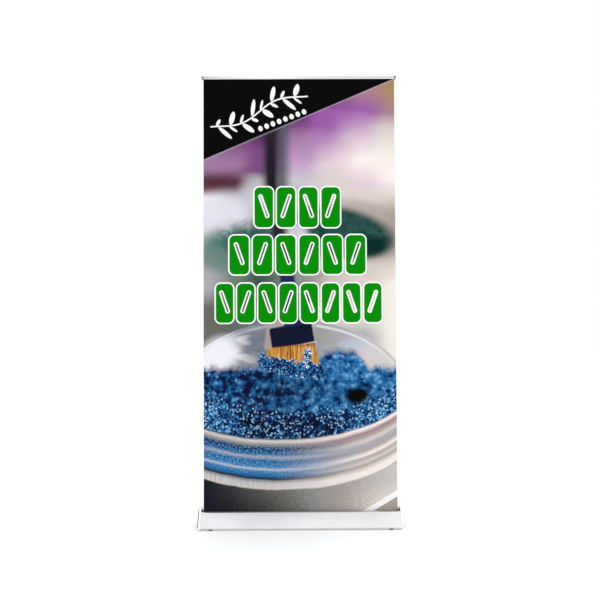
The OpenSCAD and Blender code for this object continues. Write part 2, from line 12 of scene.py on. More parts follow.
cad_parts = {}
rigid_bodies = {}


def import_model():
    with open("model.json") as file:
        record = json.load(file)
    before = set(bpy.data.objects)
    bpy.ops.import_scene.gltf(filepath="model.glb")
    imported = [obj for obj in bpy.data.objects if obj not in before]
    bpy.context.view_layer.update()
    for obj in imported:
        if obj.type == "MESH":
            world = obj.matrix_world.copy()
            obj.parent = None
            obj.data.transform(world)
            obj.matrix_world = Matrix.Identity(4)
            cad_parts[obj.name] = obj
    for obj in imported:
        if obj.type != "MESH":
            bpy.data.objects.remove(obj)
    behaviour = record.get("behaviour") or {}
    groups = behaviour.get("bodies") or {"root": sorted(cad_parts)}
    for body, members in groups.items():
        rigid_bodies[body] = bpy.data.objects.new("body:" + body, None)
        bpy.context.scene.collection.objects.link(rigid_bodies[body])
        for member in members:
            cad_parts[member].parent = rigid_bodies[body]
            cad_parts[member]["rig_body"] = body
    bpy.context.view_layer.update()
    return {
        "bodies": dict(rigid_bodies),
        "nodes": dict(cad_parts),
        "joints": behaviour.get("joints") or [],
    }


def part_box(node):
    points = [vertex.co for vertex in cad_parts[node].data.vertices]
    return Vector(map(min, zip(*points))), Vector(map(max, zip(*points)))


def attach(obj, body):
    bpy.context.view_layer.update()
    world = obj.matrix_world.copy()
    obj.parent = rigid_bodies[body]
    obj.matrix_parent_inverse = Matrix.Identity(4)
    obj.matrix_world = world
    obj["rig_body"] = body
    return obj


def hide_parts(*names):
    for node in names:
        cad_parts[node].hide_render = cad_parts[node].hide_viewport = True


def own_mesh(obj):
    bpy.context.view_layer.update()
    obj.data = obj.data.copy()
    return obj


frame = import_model()

bl_info = {
    "name": "Roll-up banner stand",
    "version": (1, 0, 0),
    "blender": (4, 5, 0),
    "location": "View3D > Sidebar > Banner stand",
    "description": "Builds a roll-up banner stand around its CAD frame",
    "category": "Object",
}

MM = 0.001
CM = 0.01
# Corners nearer than this, in metres, are joined into one
SAME_POINT = 1e-6


# ---- Colours ----


def from_screen(colour):
    """A colour given as three numbers from 0 to 255, as the renderer wants it."""
    return tuple(
        c / 255 / 12.92 if c <= 10 else ((c / 255 + 0.055) / 1.055) ** 2.4
        for c in colour
    )


PAINTS = {
    "ink": (3, 3, 4),
    "white": (255, 255, 255),
    "pearl": (242, 240, 247),
    "pale lavender": (226, 223, 236),
    "mist": (201, 199, 206),
    "pebble": (172, 170, 177),
    "stone": (150, 150, 148),
    "flint": (106, 106, 100),
    "moss": (80, 90, 72),
    "sage": (112, 130, 120),
    "sea": (88, 136, 126),
    "dark sea": (44, 84, 78),
    "teal": (22, 74, 67),
    "deep teal": (5, 42, 40),
    "aubergine": (96, 60, 74),
    "mauve": (158, 120, 158),
    "plum": (122, 74, 126),
    "dark plum": (72, 38, 82),
    "orchid": (152, 90, 164),
    "lilac": (192, 152, 194),
    "pink mist": (222, 203, 214),
    "blush": (250, 237, 234),
    "sand": (216, 206, 200),
    "taupe": (176, 164, 158),
    "green cream": (216, 218, 198),
    "ivory": (239, 235, 227),
    "ochre": (168, 134, 92),
    "rosewood": (166, 126, 142),
    "cocoa": (58, 52, 44),
    "night": (13, 19, 45),
    "navy": (28, 38, 84),
    "deep blue": (5, 24, 68),
    "blue": (24, 92, 148),
    "bright blue": (58, 122, 176),
    "sky": (120, 176, 218),
    "pale blue": (186, 200, 218),
    "hair": (190, 126, 46),
    "dark hair": (96, 56, 26),
    "slate": (34, 37, 46),
    "green": (0, 139, 0),
}


# ---- Node trees ----


def join(tree, slot, value):
    """Links a value to a node's input, or sets the input's own number or colour."""
    if isinstance(value, str):
        value = from_screen(PAINTS[value])
    if isinstance(value, Value):
        tree.links.new(value.socket, slot)
    elif slot.type == "RGBA":
        slot.default_value = (*value, 1)
    else:
        slot.default_value = value


class Value:
    """A number or a place in a node tree, which sums and masks are made from."""

    def __init__(self, tree, socket):
        self.tree, self.socket = tree, socket

    def do(self, operation, *others):
        node = self.tree.nodes.new("ShaderNodeMath")
        node.operation = operation
        for slot, value in zip(node.inputs, (self, *others)):
            join(self.tree, slot, value)
        return Value(self.tree, node.outputs[0])

    def __add__(self, other):
        return self.do("ADD", other)

    def __sub__(self, other):
        return self.do("SUBTRACT", other)

    def __mul__(self, other):
        return self.do("MULTIPLY", other)

    def times_plus(self, factor, more):
        return self.do("MULTIPLY_ADD", factor, more)

    def size(self):
        return self.do("ABSOLUTE")

    def at_least(self, other):
        return self.do("MAXIMUM", other)

    def between(self, low, high, out_low=0.0, out_high=1.0):
        """The value eased from out_low at low to out_high at high."""
        node = self.tree.nodes.new("ShaderNodeMapRange")
        node.interpolation_type = "SMOOTHSTEP"
        for slot, value in zip(node.inputs, (self, low, high, out_low, out_high)):
            join(self.tree, slot, value)
        return Value(self.tree, node.outputs[0])


def x_and_z(tree, place):
    """The across and up parts of a place."""
    node = tree.nodes.new("ShaderNodeSeparateXYZ")
    join(tree, node.inputs[0], place)
    return Value(tree, node.outputs["X"]), Value(tree, node.outputs["Z"])


class Finish:
    """A material whose colour, gloss and relief come from its node tree."""

    def __init__(self, name):
        self.material = bpy.data.materials.new(name)
        self.material.use_nodes = True
        self.tree = self.material.node_tree
        self.surface = self.tree.nodes["Principled BSDF"]
        self.place = self.node("ShaderNodeTexCoord", out="Object")

    def node(self, kind, inputs=(), out=0, **settings):
        made = self.tree.nodes.new(kind)
        for name, value in settings.items():
            setattr(made, name, value)
        for name, value in dict(inputs).items():
            join(self.tree, made.inputs[name], value)
        return Value(self.tree, made.outputs[out])

    def stretched(self, place, scale):
        return self.node("ShaderNodeMapping", {"Vector": place, "Scale": scale})

    def noise(self, place, scale, detail=3.0, roughness=0.55):
        inputs = {"Vector": place, "Scale": scale}
        inputs.update({"Detail": detail, "Roughness": roughness})
        return self.node("ShaderNodeTexNoise", inputs)

    def cells(self, place, scale, out="Distance"):
        return self.node("ShaderNodeTexVoronoi", {"Vector": place, "Scale": scale}, out)

    def mix(self, share, one, other):
        inputs = {0: share, 6: one, 7: other}
        return self.node("ShaderNodeMix", inputs, out=2, data_type="RGBA")

    def vector(self, operation, one, other=(0, 0, 0), out=0):
        inputs = {0: one, 1: other}
        return self.node("ShaderNodeVectorMath", inputs, out, operation=operation)

    def ramp(self, value, stops, low=0.0, high=1.0):
        """Colours that follow a value, from (value, colour) stops."""
        node = self.tree.nodes.new("ShaderNodeValToRGB")
        share = (value - low) * (1 / (high - low)) if (low, high) != (0, 1) else value
        join(self.tree, node.inputs[0], share)
        row = node.color_ramp.elements
        while len(row) < len(stops):
            row.new(0.5)
        for stop, (at, colour) in zip(row, stops):
            stop.position = (at - low) / (high - low)
            if isinstance(colour, str):
                colour = from_screen(PAINTS[colour])
            stop.color = (*colour, 1)
        return Value(self.tree, node.outputs[0])

    def set(self, **inputs):
        """Sets or links the shader's inputs, with underscores for spaces."""
        for name, value in inputs.items():
            join(self.tree, self.surface.inputs[name.replace("_", " ")], value)

    def relief(self, height, depth):
        inputs = {"Strength": 1.0, "Distance": depth, "Height": height}
        return self.node("ShaderNodeBump", inputs)


def metal(
    name, clean, worn, gloss, lines, depth=0.00001, metallic=1.0, cloud=6.0, scratch=0.3
):
    """Metal with draw or brush lines, cloudy marks and a few fine scratches."""
    finish = Finish(name)
    drawn = finish.noise(finish.stretched(finish.place, lines), 1.0, 4.0, 0.6)
    clouds = finish.noise(finish.place, cloud, 5.0, 0.6)
    crossing = (90, 90, 90) if lines[0] == lines[2] else (260, 40, 260)
    crossed = finish.stretched(finish.place, crossing)
    scratches = finish.noise(crossed, 1.0, 8.0, 0.75).between(0.62, 0.7)
    shade = drawn.times_plus(0.55, clouds * 0.45)
    colour = finish.mix(shade.between(0.3, 0.7), worn, clean)
    rough = shade.between(0.35, 0.65, gloss[1], gloss[0])
    finish.set(
        Base_Color=finish.mix(scratches * scratch, colour, worn),
        Metallic=metallic,
        Roughness=rough.at_least(scratches * (gloss[1] * scratch)),
        Normal=finish.relief(drawn, depth),
    )
    return finish.material


def moulded(name, colour, pale, gloss, grain, depth, scuff=0.35):
    """Moulded plastic or rubber: spark-eroded grain, cloudy gloss and pale scuffs."""
    finish = Finish(name)
    fine = finish.noise(finish.place, grain, 2.0, 0.6)
    clouds = finish.noise(finish.place, 28.0, 5.0, 0.62)
    rubbed = finish.noise(finish.stretched(finish.place, (400, 120, 60)), 1.0, 6.0, 0.7)
    marks = rubbed.between(0.6, 0.72) * clouds.between(0.45, 0.65)
    shade = finish.mix(clouds.between(0.3, 0.75, 0.0, 0.25), colour, pale)
    finish.set(
        Base_Color=finish.mix(marks * scuff, shade, pale),
        Roughness=clouds.between(0.3, 0.7, *gloss),
        Normal=finish.relief(fine, depth),
    )
    return finish.material


def pile(name):
    """Cut pile: upright fibres of slightly different greys with a soft sheen."""
    finish = Finish(name)
    upright = finish.stretched(finish.place, (2600, 1400, 260))
    fibres = finish.noise(upright, 1.0, 4.0, 0.7)
    finish.set(
        Base_Color=finish.ramp(fibres, [(0.3, (0.006,) * 3), (0.72, (0.05,) * 3)]),
        Roughness=fibres.between(0.2, 0.8, 0.8, 0.98),
        Normal=finish.relief(fibres, 0.0003),
        Sheen_Weight=0.5,
        Sheen_Roughness=0.5,
    )
    return finish.material


def film_back(name):
    """The film's light-blocking grey back, with a fine embossed grid."""
    finish = Finish(name)
    weave = finish.cells(finish.place, 1400.0)
    clouds = finish.noise(finish.place, 2.2, 6.0, 0.6)
    rubs = finish.noise(finish.stretched(finish.place, (9, 9, 3)), 1.0, 5.0, 0.6)
    shade = clouds.times_plus(0.6, rubs * 0.4)
    greys = [(0.3, (0.375, 0.385, 0.4)), (0.7, (0.42, 0.43, 0.445))]
    finish.set(
        Base_Color=finish.ramp(shade, greys),
        Roughness=shade.between(0.3, 0.7, 0.56, 0.68),
        Normal=finish.relief(weave, 0.00002),
        Specular_IOR_Level=0.3,
    )
    return finish.material


# ---- The printed picture ----


class Print(Finish):
    """The picture on the film. Places are in centimetres: x from the middle, z up."""

    def __init__(self, name):
        super().__init__(name)
        # The print moves with the rail, so a lowered banner shows its upper part.
        rail = frame["bodies"]["banner_top"]
        place = self.node("ShaderNodeTexCoord", out="Object", object=rail)
        self.space = self.stretched(place, (1 / CM, 0, 1 / CM))
        self.x, self.z = x_and_z(self.tree, self.space)
        self.picture = None

    def lay(self, mask, colour, share=1.0):
        """Lays a colour over the picture where the mask is 1."""
        if share != 1.0:
            mask = mask * share
        self.picture = self.mix(mask, self.picture, colour)

    def spots(self, *rows):
        """Soft ovals: x, z, half width, half height, turn, softness, colour, share."""
        for *shape, colour, share in rows:
            self.lay(self.oval(*shape), colour, share)

    def at(self, x, z):
        return self.node("ShaderNodeCombineXYZ", {"X": x, "Z": z})

    def within(self, x, z, turn=0.0, across=1.0, up=1.0, place=None):
        """The place as seen from a frame at (x, z), turned by degrees and scaled."""
        inputs = {
            "Vector": place or self.space,
            "Location": (x, 0, z),
            "Rotation": (0, -math.radians(turn), 0),
            "Scale": (across, 1, up),
        }
        return self.node("ShaderNodeMapping", inputs, vector_type="TEXTURE")

    def oval(self, x, z, across, up, turn=0.0, soft=0.15, place=None):
        far = self.vector("LENGTH", self.within(x, z, turn, across, up, place), out=1)
        return far.between(1 + soft, 1 - soft)

    def bar_gap(self, place, half_across, half_up, corner):
        """Distance from a bar with rounded corners, below zero inside it."""
        straight = (half_across - corner, 9, half_up - corner)
        beyond = self.vector("SUBTRACT", self.vector("ABSOLUTE", place), straight)
        return self.vector("LENGTH", self.vector("MAXIMUM", beyond), out=1) - corner

    def bar(self, x, z, half_across, half_up, turn=0.0, corner=0.5, soft=0.15):
        gap = self.bar_gap(self.within(x, z, turn), half_across, half_up, corner)
        return gap.between(soft, -soft)

    # The parts of the picture, from the farthest to the nearest

    def blurred_room(self):
        """Soft mauve, cream and teal shapes far behind the jar."""
        columns = (
            (-45, (90, "flint"), (104, "flint"), (112, "pebble"), (126, "pebble"),
             (132, "stone"), (140, "mist"), (148, "pearl"), (156, "pearl"),
             (160, "rosewood"), (164, "aubergine"), (169, "mauve"), (178, "mauve")),
            (-31, (90, "flint"), (103, "moss"), (120, "sage"), (127, "sea"),
             (134, "sage"), (141, "mist"), (147, "pale lavender"), (153, "mist"),
             (158, "pebble"), (163, "aubergine"), (172, "mauve"), (184, "plum")),
            (-19, (90, "sage"), (98, "sage"), (106, "moss"), (124, "dark sea"),
             (138, "dark sea"), (145, "stone"), (152, "pebble"), (158, "mist"),
             (164, "pebble"), (168, "plum"), (178, "plum"), (190, "dark plum")),
            (0, (90, "stone"), (110, "sage"), (122, "stone"), (130, "pebble"),
             (140, "mist"), (150, "pebble"), (158, "pebble"), (164, "mist"),
             (174, "lilac"), (184, "mauve"), (190, "plum"), (200, "dark plum")),
            (14, (90, "pebble"), (100, "green cream"), (110, "taupe"), (122, "taupe"),
             (148, "pebble"), (156, "sand"), (165, "sand"), (172, "pink mist"),
             (181, "lilac"), (189, "orchid"), (197, "orchid"), (205, "dark plum")),
            (30, (90, "pebble"), (98, "green cream"), (112, "sand"), (124, "sand"),
             (149, "taupe"), (156, "sand"), (164, "pink mist"), (174, "blush"),
             (184, "pink mist"), (191, "lilac"), (199, "orchid"), (208, "rosewood")),
            (45, (90, "ivory"), (108, "ivory"), (122, "ivory"), (132, "mist"),
             (139, "flint"), (149, "taupe"), (157, "sand"), (166, "blush"),
             (176, "ivory"), (188, "sand"), (197, "rosewood"), (207, "ochre")),
        )  # fmt: skip
        drift = self.noise(self.space, 0.045, 2.0, 0.5)
        x = drift.times_plus(9.0, self.x - 4.5)
        z = drift.times_plus(-7.0, self.z + 3.5)
        for i, (at, *stops) in enumerate(columns):
            shades = self.ramp(z, stops, 85.0, 215.0)
            if i == 0:
                self.picture = shades
            else:
                self.lay(x.between(columns[i - 1][0], at), shades)

    def far_jars(self):
        """Two out-of-focus jars of teal powder with pale lids' edges."""
        cloud = self.noise(self.space, 0.22, 4.0, 0.65)
        self.spots(
            (-39, 163, 15, 4.6, -8, 0.7, (0.08, 0.02, 0.035), 0.8),
            (-38, 149, 15, 9, 8, 0.5, "pale lavender", 0.8),
            (-29, 131, 20, 10, 3, 0.35, "sea", 0.85),
        )
        patchy = self.oval(-22, 135, 17, 9, -4, 0.55) * cloud.between(0.3, 0.6)
        self.lay(patchy, "teal", 0.85)
        rough = self.mix(cloud.between(0.35, 0.65), "deep teal", "dark sea")
        self.spots(
            (-36, 126, 13, 5, -6, 0.5, "sage", 0.5),
            (23, 137, 29, 18, -8, 0.2, "taupe", 0.8),
            (19.5, 139.5, 26, 11.5, -13, 0.2, rough, 1.0),
            (21, 143, 20, 6, -9, 0.6, "dark sea", 0.5),
            (33, 132.5, 10, 4.5, 10, 0.5, "deep teal", 1.0),
            (12, 132, 12, 5, -10, 0.5, "deep teal", 0.75),
            (30, 118.5, 19, 6, 12, 0.4, "sand", 0.7),
            (-1, 139, 4.6, 5, 0, 0.6, "pale lavender", 0.8),
            (-22, 157, 6, 7, 0, 0.6, "mist", 0.7),
        )

    def brush_handle(self):
        """The brush's dark handle, which sharpens towards the ferrule."""
        lean = self.z.between(168, 100, 0.0, 9.0)
        across = self.x + 13.4 - lean
        blur = self.z.between(100, 160, 0.6, 2.6)
        dark = (across.size() - 3.5).do("DIVIDE", blur).between(1.0, -1.0)
        light = ((across - 5.2).size() - 2.8).do("DIVIDE", blur).between(1.2, -1.2)
        seen = self.z.between(205, 192) * self.z.between(93, 97)
        self.lay(light * self.z.between(135, 160) * seen, (0.085, 0.09, 0.12), 0.9)
        shades = [
            (95, "night"), (118, "navy"), (140, "slate"), (165, (0.012, 0.01, 0.014)),
            (190, (0.022, 0.014, 0.028)),
        ]  # fmt: skip
        self.lay(dark * seen, self.ramp(self.z, shades, 90.0, 200.0))

    def jar(self):
        """The open jar: its pale back wall and rim, seen a little from above."""
        wobble = self.noise(self.stretched(self.space, (0.5, 1, 1.6)), 0.09, 3.0, 0.5)
        shades = [
            (-45, "pearl"), (-35, "pale lavender"), (-27, "pebble"), (-16, "stone"),
            (6, "stone"), (22, "pebble"), (34, "mist"), (45, "sand"),
        ]  # fmt: skip
        glass = self.ramp(self.x, shades, -46.0, 46.0)
        self.spots(
            (-3, 60, 56, 37.5, 0, 0.006, glass, 1.0),
            (-3, 60, 55.4, 36.9, 0, 0.006, "pebble", 0.6),
            (-3, 60, 54.6, 36.2, 0, 0.006, "pearl", 0.6),
            (-3, 60, 53.4, 35.0, 0, 0.012, glass, 1.0),
        )
        haze = self.oval(-18, 85, 14, 13, 0, 0.8) * wobble.between(0.3, 0.65, 0.6, 1.0)
        self.lay(haze, (0.1, 0.13, 0.19), 0.95)
        streaks = wobble.between(0.5, 0.62) * self.oval(-3, 60, 52.6, 34.2, 0, 0.02)
        self.lay(streaks * self.x.between(2, 22), "pale blue", 0.6)
        self.lay(streaks * self.x.between(-14, -30), "white", 0.5)
        self.spots(
            (-38, 82, 9, 7, 24, 0.5, "pearl", 0.9),
            (37, 78, 10, 5, -30, 0.4, "sand", 0.6),
        )

    def blue_powder(self):
        """Loose blue glitter powder: blurred far heaps, then sharp near grains."""
        lumps = self.noise(self.space, 0.2, 5.0, 0.66)
        heap = (self.x - 19).size().between(15, 5, 0.0, 8.0)
        top = (self.z - heap) - lumps.times_plus(9.0, 70.5)
        far = self.noise(self.space, 0.26, 2.0, 0.6)
        blues = [
            (0.33, "night"), (0.43, "deep blue"), (0.54, "blue"), (0.66, "bright blue"),
            (0.78, "sky"),
        ]  # fmt: skip
        shades = self.ramp(far + self.x.between(-30, 16, -0.03, 0.08), blues)
        glow = self.cells(self.space, 0.36).between(0.42, 0.14) * far.between(0.4, 0.55)
        shades = self.mix(glow * 0.7, shades, "sky")
        gloom = self.oval(-5, 65.5, 21, 5.5, -4, 0.9)
        gloom = gloom.at_least(self.oval(-12, 60, 14, 5, 5, 0.9))
        shades = self.mix(gloom * 0.45, shades, "night")
        self.lay(top.between(2.2, -2.2), shades)
        # The nearer grains, in focus
        bank = (self.x + 2).do("POWER", 2.0).times_plus(0.0056, 54.0)
        near = self.z - bank - lumps.times_plus(22.0, -11.0)
        grains = self.cells(self.space, 1.35, "Color")
        drifts = self.noise(self.space, 0.34, 5.0, 0.7)
        sides = (self.x + 3).size().between(10, 44, -0.05, 0.09)
        light = drifts.times_plus(1.9, grains.times_plus(0.5, -0.24)) + sides * 1.6
        blues = [
            (0.76, "night"), (0.92, "deep blue"), (1.06, "blue"), (1.2, "bright blue"),
            (1.36, "sky"), (1.52, "pale blue"),
        ]  # fmt: skip
        shades = self.ramp(light, blues, 0.6, 1.8)
        shades = self.mix(grains.between(0.3, 0.2) * 0.7, shades, "night")
        flakes = grains.between(0.72, 0.82) * 0.65
        shades = self.mix(flakes, shades, (0.36, 0.62, 0.82))
        hollows = self.oval(-24, 50, 3.4, 5.5, 24, 0.7)
        hollows = hollows.at_least(self.oval(-15, 47, 4, 2.4, 0, 0.8))
        hollows = hollows.at_least(self.oval(4, 48, 7, 2.5, 5, 0.8) * 0.7)
        shades = self.mix(hollows * grains.between(0.7, 0.45), shades, "ink")
        self.lay(near.between(1.6, -1.6), shades)
        self.lay(self.oval(27, 61.8, 6.0, 3.8, 8, 0.4), "ink")

    def brush_head(self):
        """Ferrule, hair and the clump of powder that the hair has picked up."""
        self.lay(self.bar(-12.6, 92.5, 3.4, 9.5, -8, 2, 1.0), (0.42, 0.34, 0.33), 0.85)
        self.lay(self.bar(5.2, 95, 2.6, 7.5, -12, 2, 1.0), (0.42, 0.36, 0.38), 0.7)
        self.lay(self.bar(-1.4, 101, 4.6, 9.5, -14, 1, 0.6), "night")
        self.lay(self.bar(-3.8, 90.0, 10.2, 5.3, 9, 1.4, 0.4), "night")
        self.lay(self.oval(-2.2, 95.6, 8, 0.7, 12, 0.5), "navy", 0.8)
        self.lay(self.bar(2.2, 86.2, 5.6, 0.4, 12, 0.3, 0.25), "mist", 0.9)
        flare = (self.x + 3.7).size() + self.z.between(76, 89, -12.8, -10.6)
        hair = self.x.times_plus(-0.12, self.z).between(86.6, 85.6)
        hair = flare.between(0.5, -0.5) * hair * self.z.between(74, 75)
        fan = self.stretched(self.within(-3, 128), (1.5, 1, 0.1))
        strands = self.noise(fan, 1.0, 4.0, 0.7) + self.z.between(87, 84, -0.1, 0.02)
        browns = [(0.36, "dark hair"), (0.5, "hair"), (0.66, (0.78, 0.5, 0.2))]
        self.lay(hair, self.ramp(strands, browns))
        lumps = self.noise(self.space, 0.3, 4.0, 0.65)
        sag = (self.x + 4).do("POWER", 2.0) * 0.004
        height = self.x.times_plus(0.15, self.z - sag) + lumps.times_plus(11.0, -5.5)
        clump = height.between(78.4, 77.4) * height.between(70.4, 71.4)
        ends = (self.x + 4).size() + lumps.times_plus(7.0, -3.5)
        peak = self.oval(3.4, 80.2, 2.0, 4.2, -8, 0.35)
        clump = (clump * ends.between(16.2, 15.2)).at_least(peak)
        grains = self.cells(self.space, 1.5, "Color")
        rim = (height - 74.2).size().between(1.0, 3.8, -0.08, 0.09)
        blues = [
            (0.1, "night"), (0.21, "deep blue"), (0.31, "blue"), (0.42, "bright blue"),
            (0.5, "sky"), (0.58, "pearl"),
        ]  # fmt: skip
        self.lay(clump, self.ramp(grains.times_plus(0.6, rim), blues))

    def front_rims(self):
        """The jar's near side: rim, glitter on the wall, and the thick foot ring."""
        bow = (self.x + 8).do("POWER", 2.0)
        curve = bow.times_plus(0.00000055, 0.003) * bow
        ripple = self.noise(self.space, 0.07, 2.0, 0.5)
        height = self.z - curve + ripple.times_plus(1.4, -0.7)
        left = [
            (17.4, "sage"), (18.0, "sand"), (20.3, "mist"), (21.6, "stone"),
            (22.5, "slate"), (23.6, "blue"), (26.0, "bright blue"), (27.0, "mist"),
            (28.0, "bright blue"), (31.0, "blue"), (32.8, "pebble"), (34.0, "blue"),
            (36.8, "deep blue"), (38.6, "stone"), (40.2, "sand"), (41.4, "deep blue"),
        ]  # fmt: skip
        right = [
            (17.4, "taupe"), (18.2, "ivory"), (20.2, "blush"), (22.0, "sand"),
            (23.4, "taupe"), (24.8, "sand"), (26.8, "taupe"), (28.2, "blush"),
            (30.4, "taupe"), (33.0, "pebble"), (35.0, "sand"), (36.6, "taupe"),
            (38.6, "rosewood"), (39.6, "sand"), (40.8, "blush"), (41.4, "taupe"),
        ]  # fmt: skip
        left, right = (self.ramp(height, stops, 17.0, 42.0) for stops in (left, right))
        bands = self.mix(self.x.between(-16, 34), left, right)
        stuck = self.noise(self.space, 1.1, 5.0, 0.8)
        wall = (height - 31.5).size().between(9, 5)
        glitter = stuck.between(0.5, 0.58) * wall
        bands = self.mix(glitter * self.x.between(38, -14, 0.05, 0.75), bands, "sky")
        specks = stuck.between(0.46, 0.38) * wall
        specks = specks * self.x.between(32, -14, 0.05, 0.7)
        bands = self.mix(specks, bands, "deep blue")
        ribs = self.noise(self.stretched(self.space, (1.6, 1, 0.05)), 1.0, 2.0)
        foot = (height - 19.7).size().between(2.6, 1.6) * ribs.between(0.5, 0.6)
        bands = self.mix(foot * self.x.between(10, -30, 0.0, 0.45), bands, "flint")
        self.lay(height.between(41.9, 41.1), bands)
        return height

    def table_top(self, height):
        """The grainy table in front of the jar, dark left and pale right."""
        grain = self.noise(self.stretched(self.space, (0.7, 1, 1.1)), 0.8, 6.0, 0.85)
        shades = [
            (-44, (0.01, 0.011, 0.019)), (-32, (0.02, 0.021, 0.026)),
            (-17, (0.058, 0.06, 0.06)), (-4, "flint"), (9, "stone"), (21, "taupe"),
            (33, "sand"), (45, "ivory"),
        ]  # fmt: skip
        top = self.ramp(grain.times_plus(44.0, self.x - 22), shades, -46.0, 46.0)
        lit = self.z.between(8, 24) * self.x.between(-46, 8)
        top = self.mix(lit * 0.5, top, "stone")
        pits = grain.between(0.5, 0.3) * self.x.between(-8, -34)
        top = self.mix(pits, top, (0.016, 0.018, 0.03))
        self.lay(height.between(17.7, 17.0), top)
        beyond = self.x.times_plus(-0.59, self.z + 13.0)
        self.lay(beyond.between(3.5, 3.1) * height.between(15.4, 14.8), "white", 0.9)
        shadow = self.mix(grain.between(0.3, 0.7), "taupe", (0.42, 0.34, 0.28))
        self.lay(beyond.between(0.5, 0.1), shadow)

    def corner_banner(self):
        """The black corner with a pale edge, a white leafy sprig and beads."""
        gap = self.x.times_plus(-0.425, self.z - 193.8)
        self.lay(gap.between(-0.9, 0.0) * gap.between(0.9, 0.3), "mist", 0.3)
        self.lay(gap.between(0.0, 0.35), "ink")
        along, across = x_and_z(self.tree, self.within(-19, 197.6, 21))
        across = (along * 0.16).do("SINE").times_plus(-2.2, across)
        stem = (across.size() - 0.34).between(0.16, -0.16)
        self.lay(stem * along.size().between(24.6, 24.2), "white")
        pitch = 5.6
        nth = (along * (1 / pitch)).do("FLOOR")
        side = nth.do("MODULO", 2.0).size().times_plus(2.0, -1.0)
        local = (along * (1 / pitch)).do("FRACT").times_plus(pitch, -pitch / 2)
        leaf = self.at(local, across * side)
        inside = (along.size() - 22.3).between(0.0, -0.1)
        self.lay(self.oval(0.7, 3.5, 3.5, 1.1, 58, 0.1, leaf) * inside, "white")
        self.lay(self.oval(-0.6, -1.9, 2.0, 0.65, -50, 0.15, leaf) * inside, "white")
        run, rise = x_and_z(self.tree, self.within(-8, 193.4, 21))
        pitch = 3.2
        step = (run * (1 / pitch)).do("FRACT").times_plus(pitch, -pitch / 2)
        bead = self.oval(0, 0, 1.05, 1.3, 0, 0.12, self.at(step, rise))
        self.lay(bead * (run.size() - 12.8).between(0.1, -0.1), "white")

    def green_blocks(self):
        """Three centred rows of green blocks with slanting slots, outlined in white."""
        for z, half_up, x0, x1, count in (
            (151.5, 9.6, -22.3, 20.3, 4),
            (128.8, 9.3, -34.3, 32.3, 6),
            (105.8, 9.3, -40.8, 39.8, 8),
        ):
            pitch = (x1 - x0) / count
            run = (self.x - x0) * (1 / pitch)
            side = run.do("FLOOR").do("MODULO", 2.0).times_plus(2.0, -1.0)
            local = run.do("FRACT").times_plus(pitch, -pitch / 2) * side
            place = self.at(local, self.z - z)
            block = self.bar_gap(place, pitch / 2 - 0.9, half_up, 2.4)
            slanted = self.within(0, 0.6, 71, place=place)
            slot = self.bar_gap(slanted, half_up - 3.6, 1.05, 1.0)
            ends = (self.x - (x0 + x1) / 2).size() - (x1 - x0) / 2
            gap = block.at_least(slot * -1.0).at_least(ends * 20.0)
            self.lay(gap.between(0.75, 0.55), "white")
            self.lay(gap.between(0.1, -0.1), "green")

    def surface_film(self):
        """Laminated print: a faint grain in the gloss and in the relief."""
        grain = self.noise(self.place, 1600.0, 2.0, 0.6)
        handling = self.noise(self.place, 3.0, 5.0, 0.6)
        self.set(
            Base_Color=self.picture,
            Roughness=handling.between(0.3, 0.7, 0.52, 0.64),
            Normal=self.relief(grain, 0.000012),
            Specular_IOR_Level=0.04,
        )
        return self.material


def printed(name):
    picture = Print(name)
    picture.blurred_room()
    picture.far_jars()
    picture.brush_handle()
    picture.jar()
    picture.blue_powder()
    picture.brush_head()
    picture.table_top(picture.front_rims())
    picture.corner_banner()
    picture.green_blocks()
    return picture.surface_film()


MAKERS = {
    "casing_aluminium": lambda name: metal(
        name, (0.73, 0.735, 0.745), (0.66, 0.665, 0.68), (0.3, 0.42), (1.5, 900, 900),
        metallic=0.85, scratch=0.12,
    ),
    "cap_chrome": lambda name: metal(
        name, (0.9, 0.905, 0.91), (0.8, 0.81, 0.83), (0.05, 0.12), (60, 60, 60),
        depth=0.000002, scratch=0.35,
    ),
    "rail_aluminium": lambda name: metal(
        name, (0.88, 0.885, 0.89), (0.72, 0.73, 0.75), (0.24, 0.36), (1.5, 1200, 1200),
        scratch=0.15,
    ),
    "pole_aluminium": lambda name: metal(
        name, (0.82, 0.83, 0.84), (0.68, 0.69, 0.71), (0.22, 0.36), (700, 700, 1.5),
        scratch=0.3,
    ),
    "steel": lambda name: metal(
        name, (0.74, 0.75, 0.77), (0.52, 0.5, 0.42), (0.22, 0.42), (300, 300, 300),
        cloud=90.0,
    ),
    "brass_insert": lambda name: metal(
        name, (0.78, 0.58, 0.27), (0.5, 0.33, 0.13), (0.25, 0.45), (300, 300, 300),
        cloud=90.0,
    ),
    "black_plastic": lambda name: moulded(
        name, (0.012, 0.012, 0.013), (0.09, 0.09, 0.095), (0.34, 0.5), 1500.0, 0.00006
    ),
    "grey_plastic": lambda name: moulded(
        name, (0.2, 0.21, 0.22), (0.42, 0.43, 0.44), (0.36, 0.52), 1500.0, 0.00006
    ),
    "foot_rubber": lambda name: moulded(
        name, (0.014, 0.014, 0.015), (0.16, 0.155, 0.15), (0.72, 0.9), 900.0, 0.00012,
        scuff=0.6,
    ),
    "grip_rubber": lambda name: moulded(
        name, (0.02, 0.02, 0.021), (0.1, 0.1, 0.1), (0.7, 0.88), 1200.0, 0.0001
    ),
    "wiper_pile": pile,
    "film_back": film_back,
    "printed_film": printed,
}  # fmt: skip
made_finishes = {}


def finish_of(slot):
    """The finish for one of the record's material slots, made once."""
    if slot not in made_finishes:
        made_finishes[slot] = MAKERS[slot](slot.replace("_", " ") + " finish")
    return made_finishes[slot]


# ---- Mesh helpers ----


def slot_of(node):
    return frame["nodes"][node].data.materials[0].name


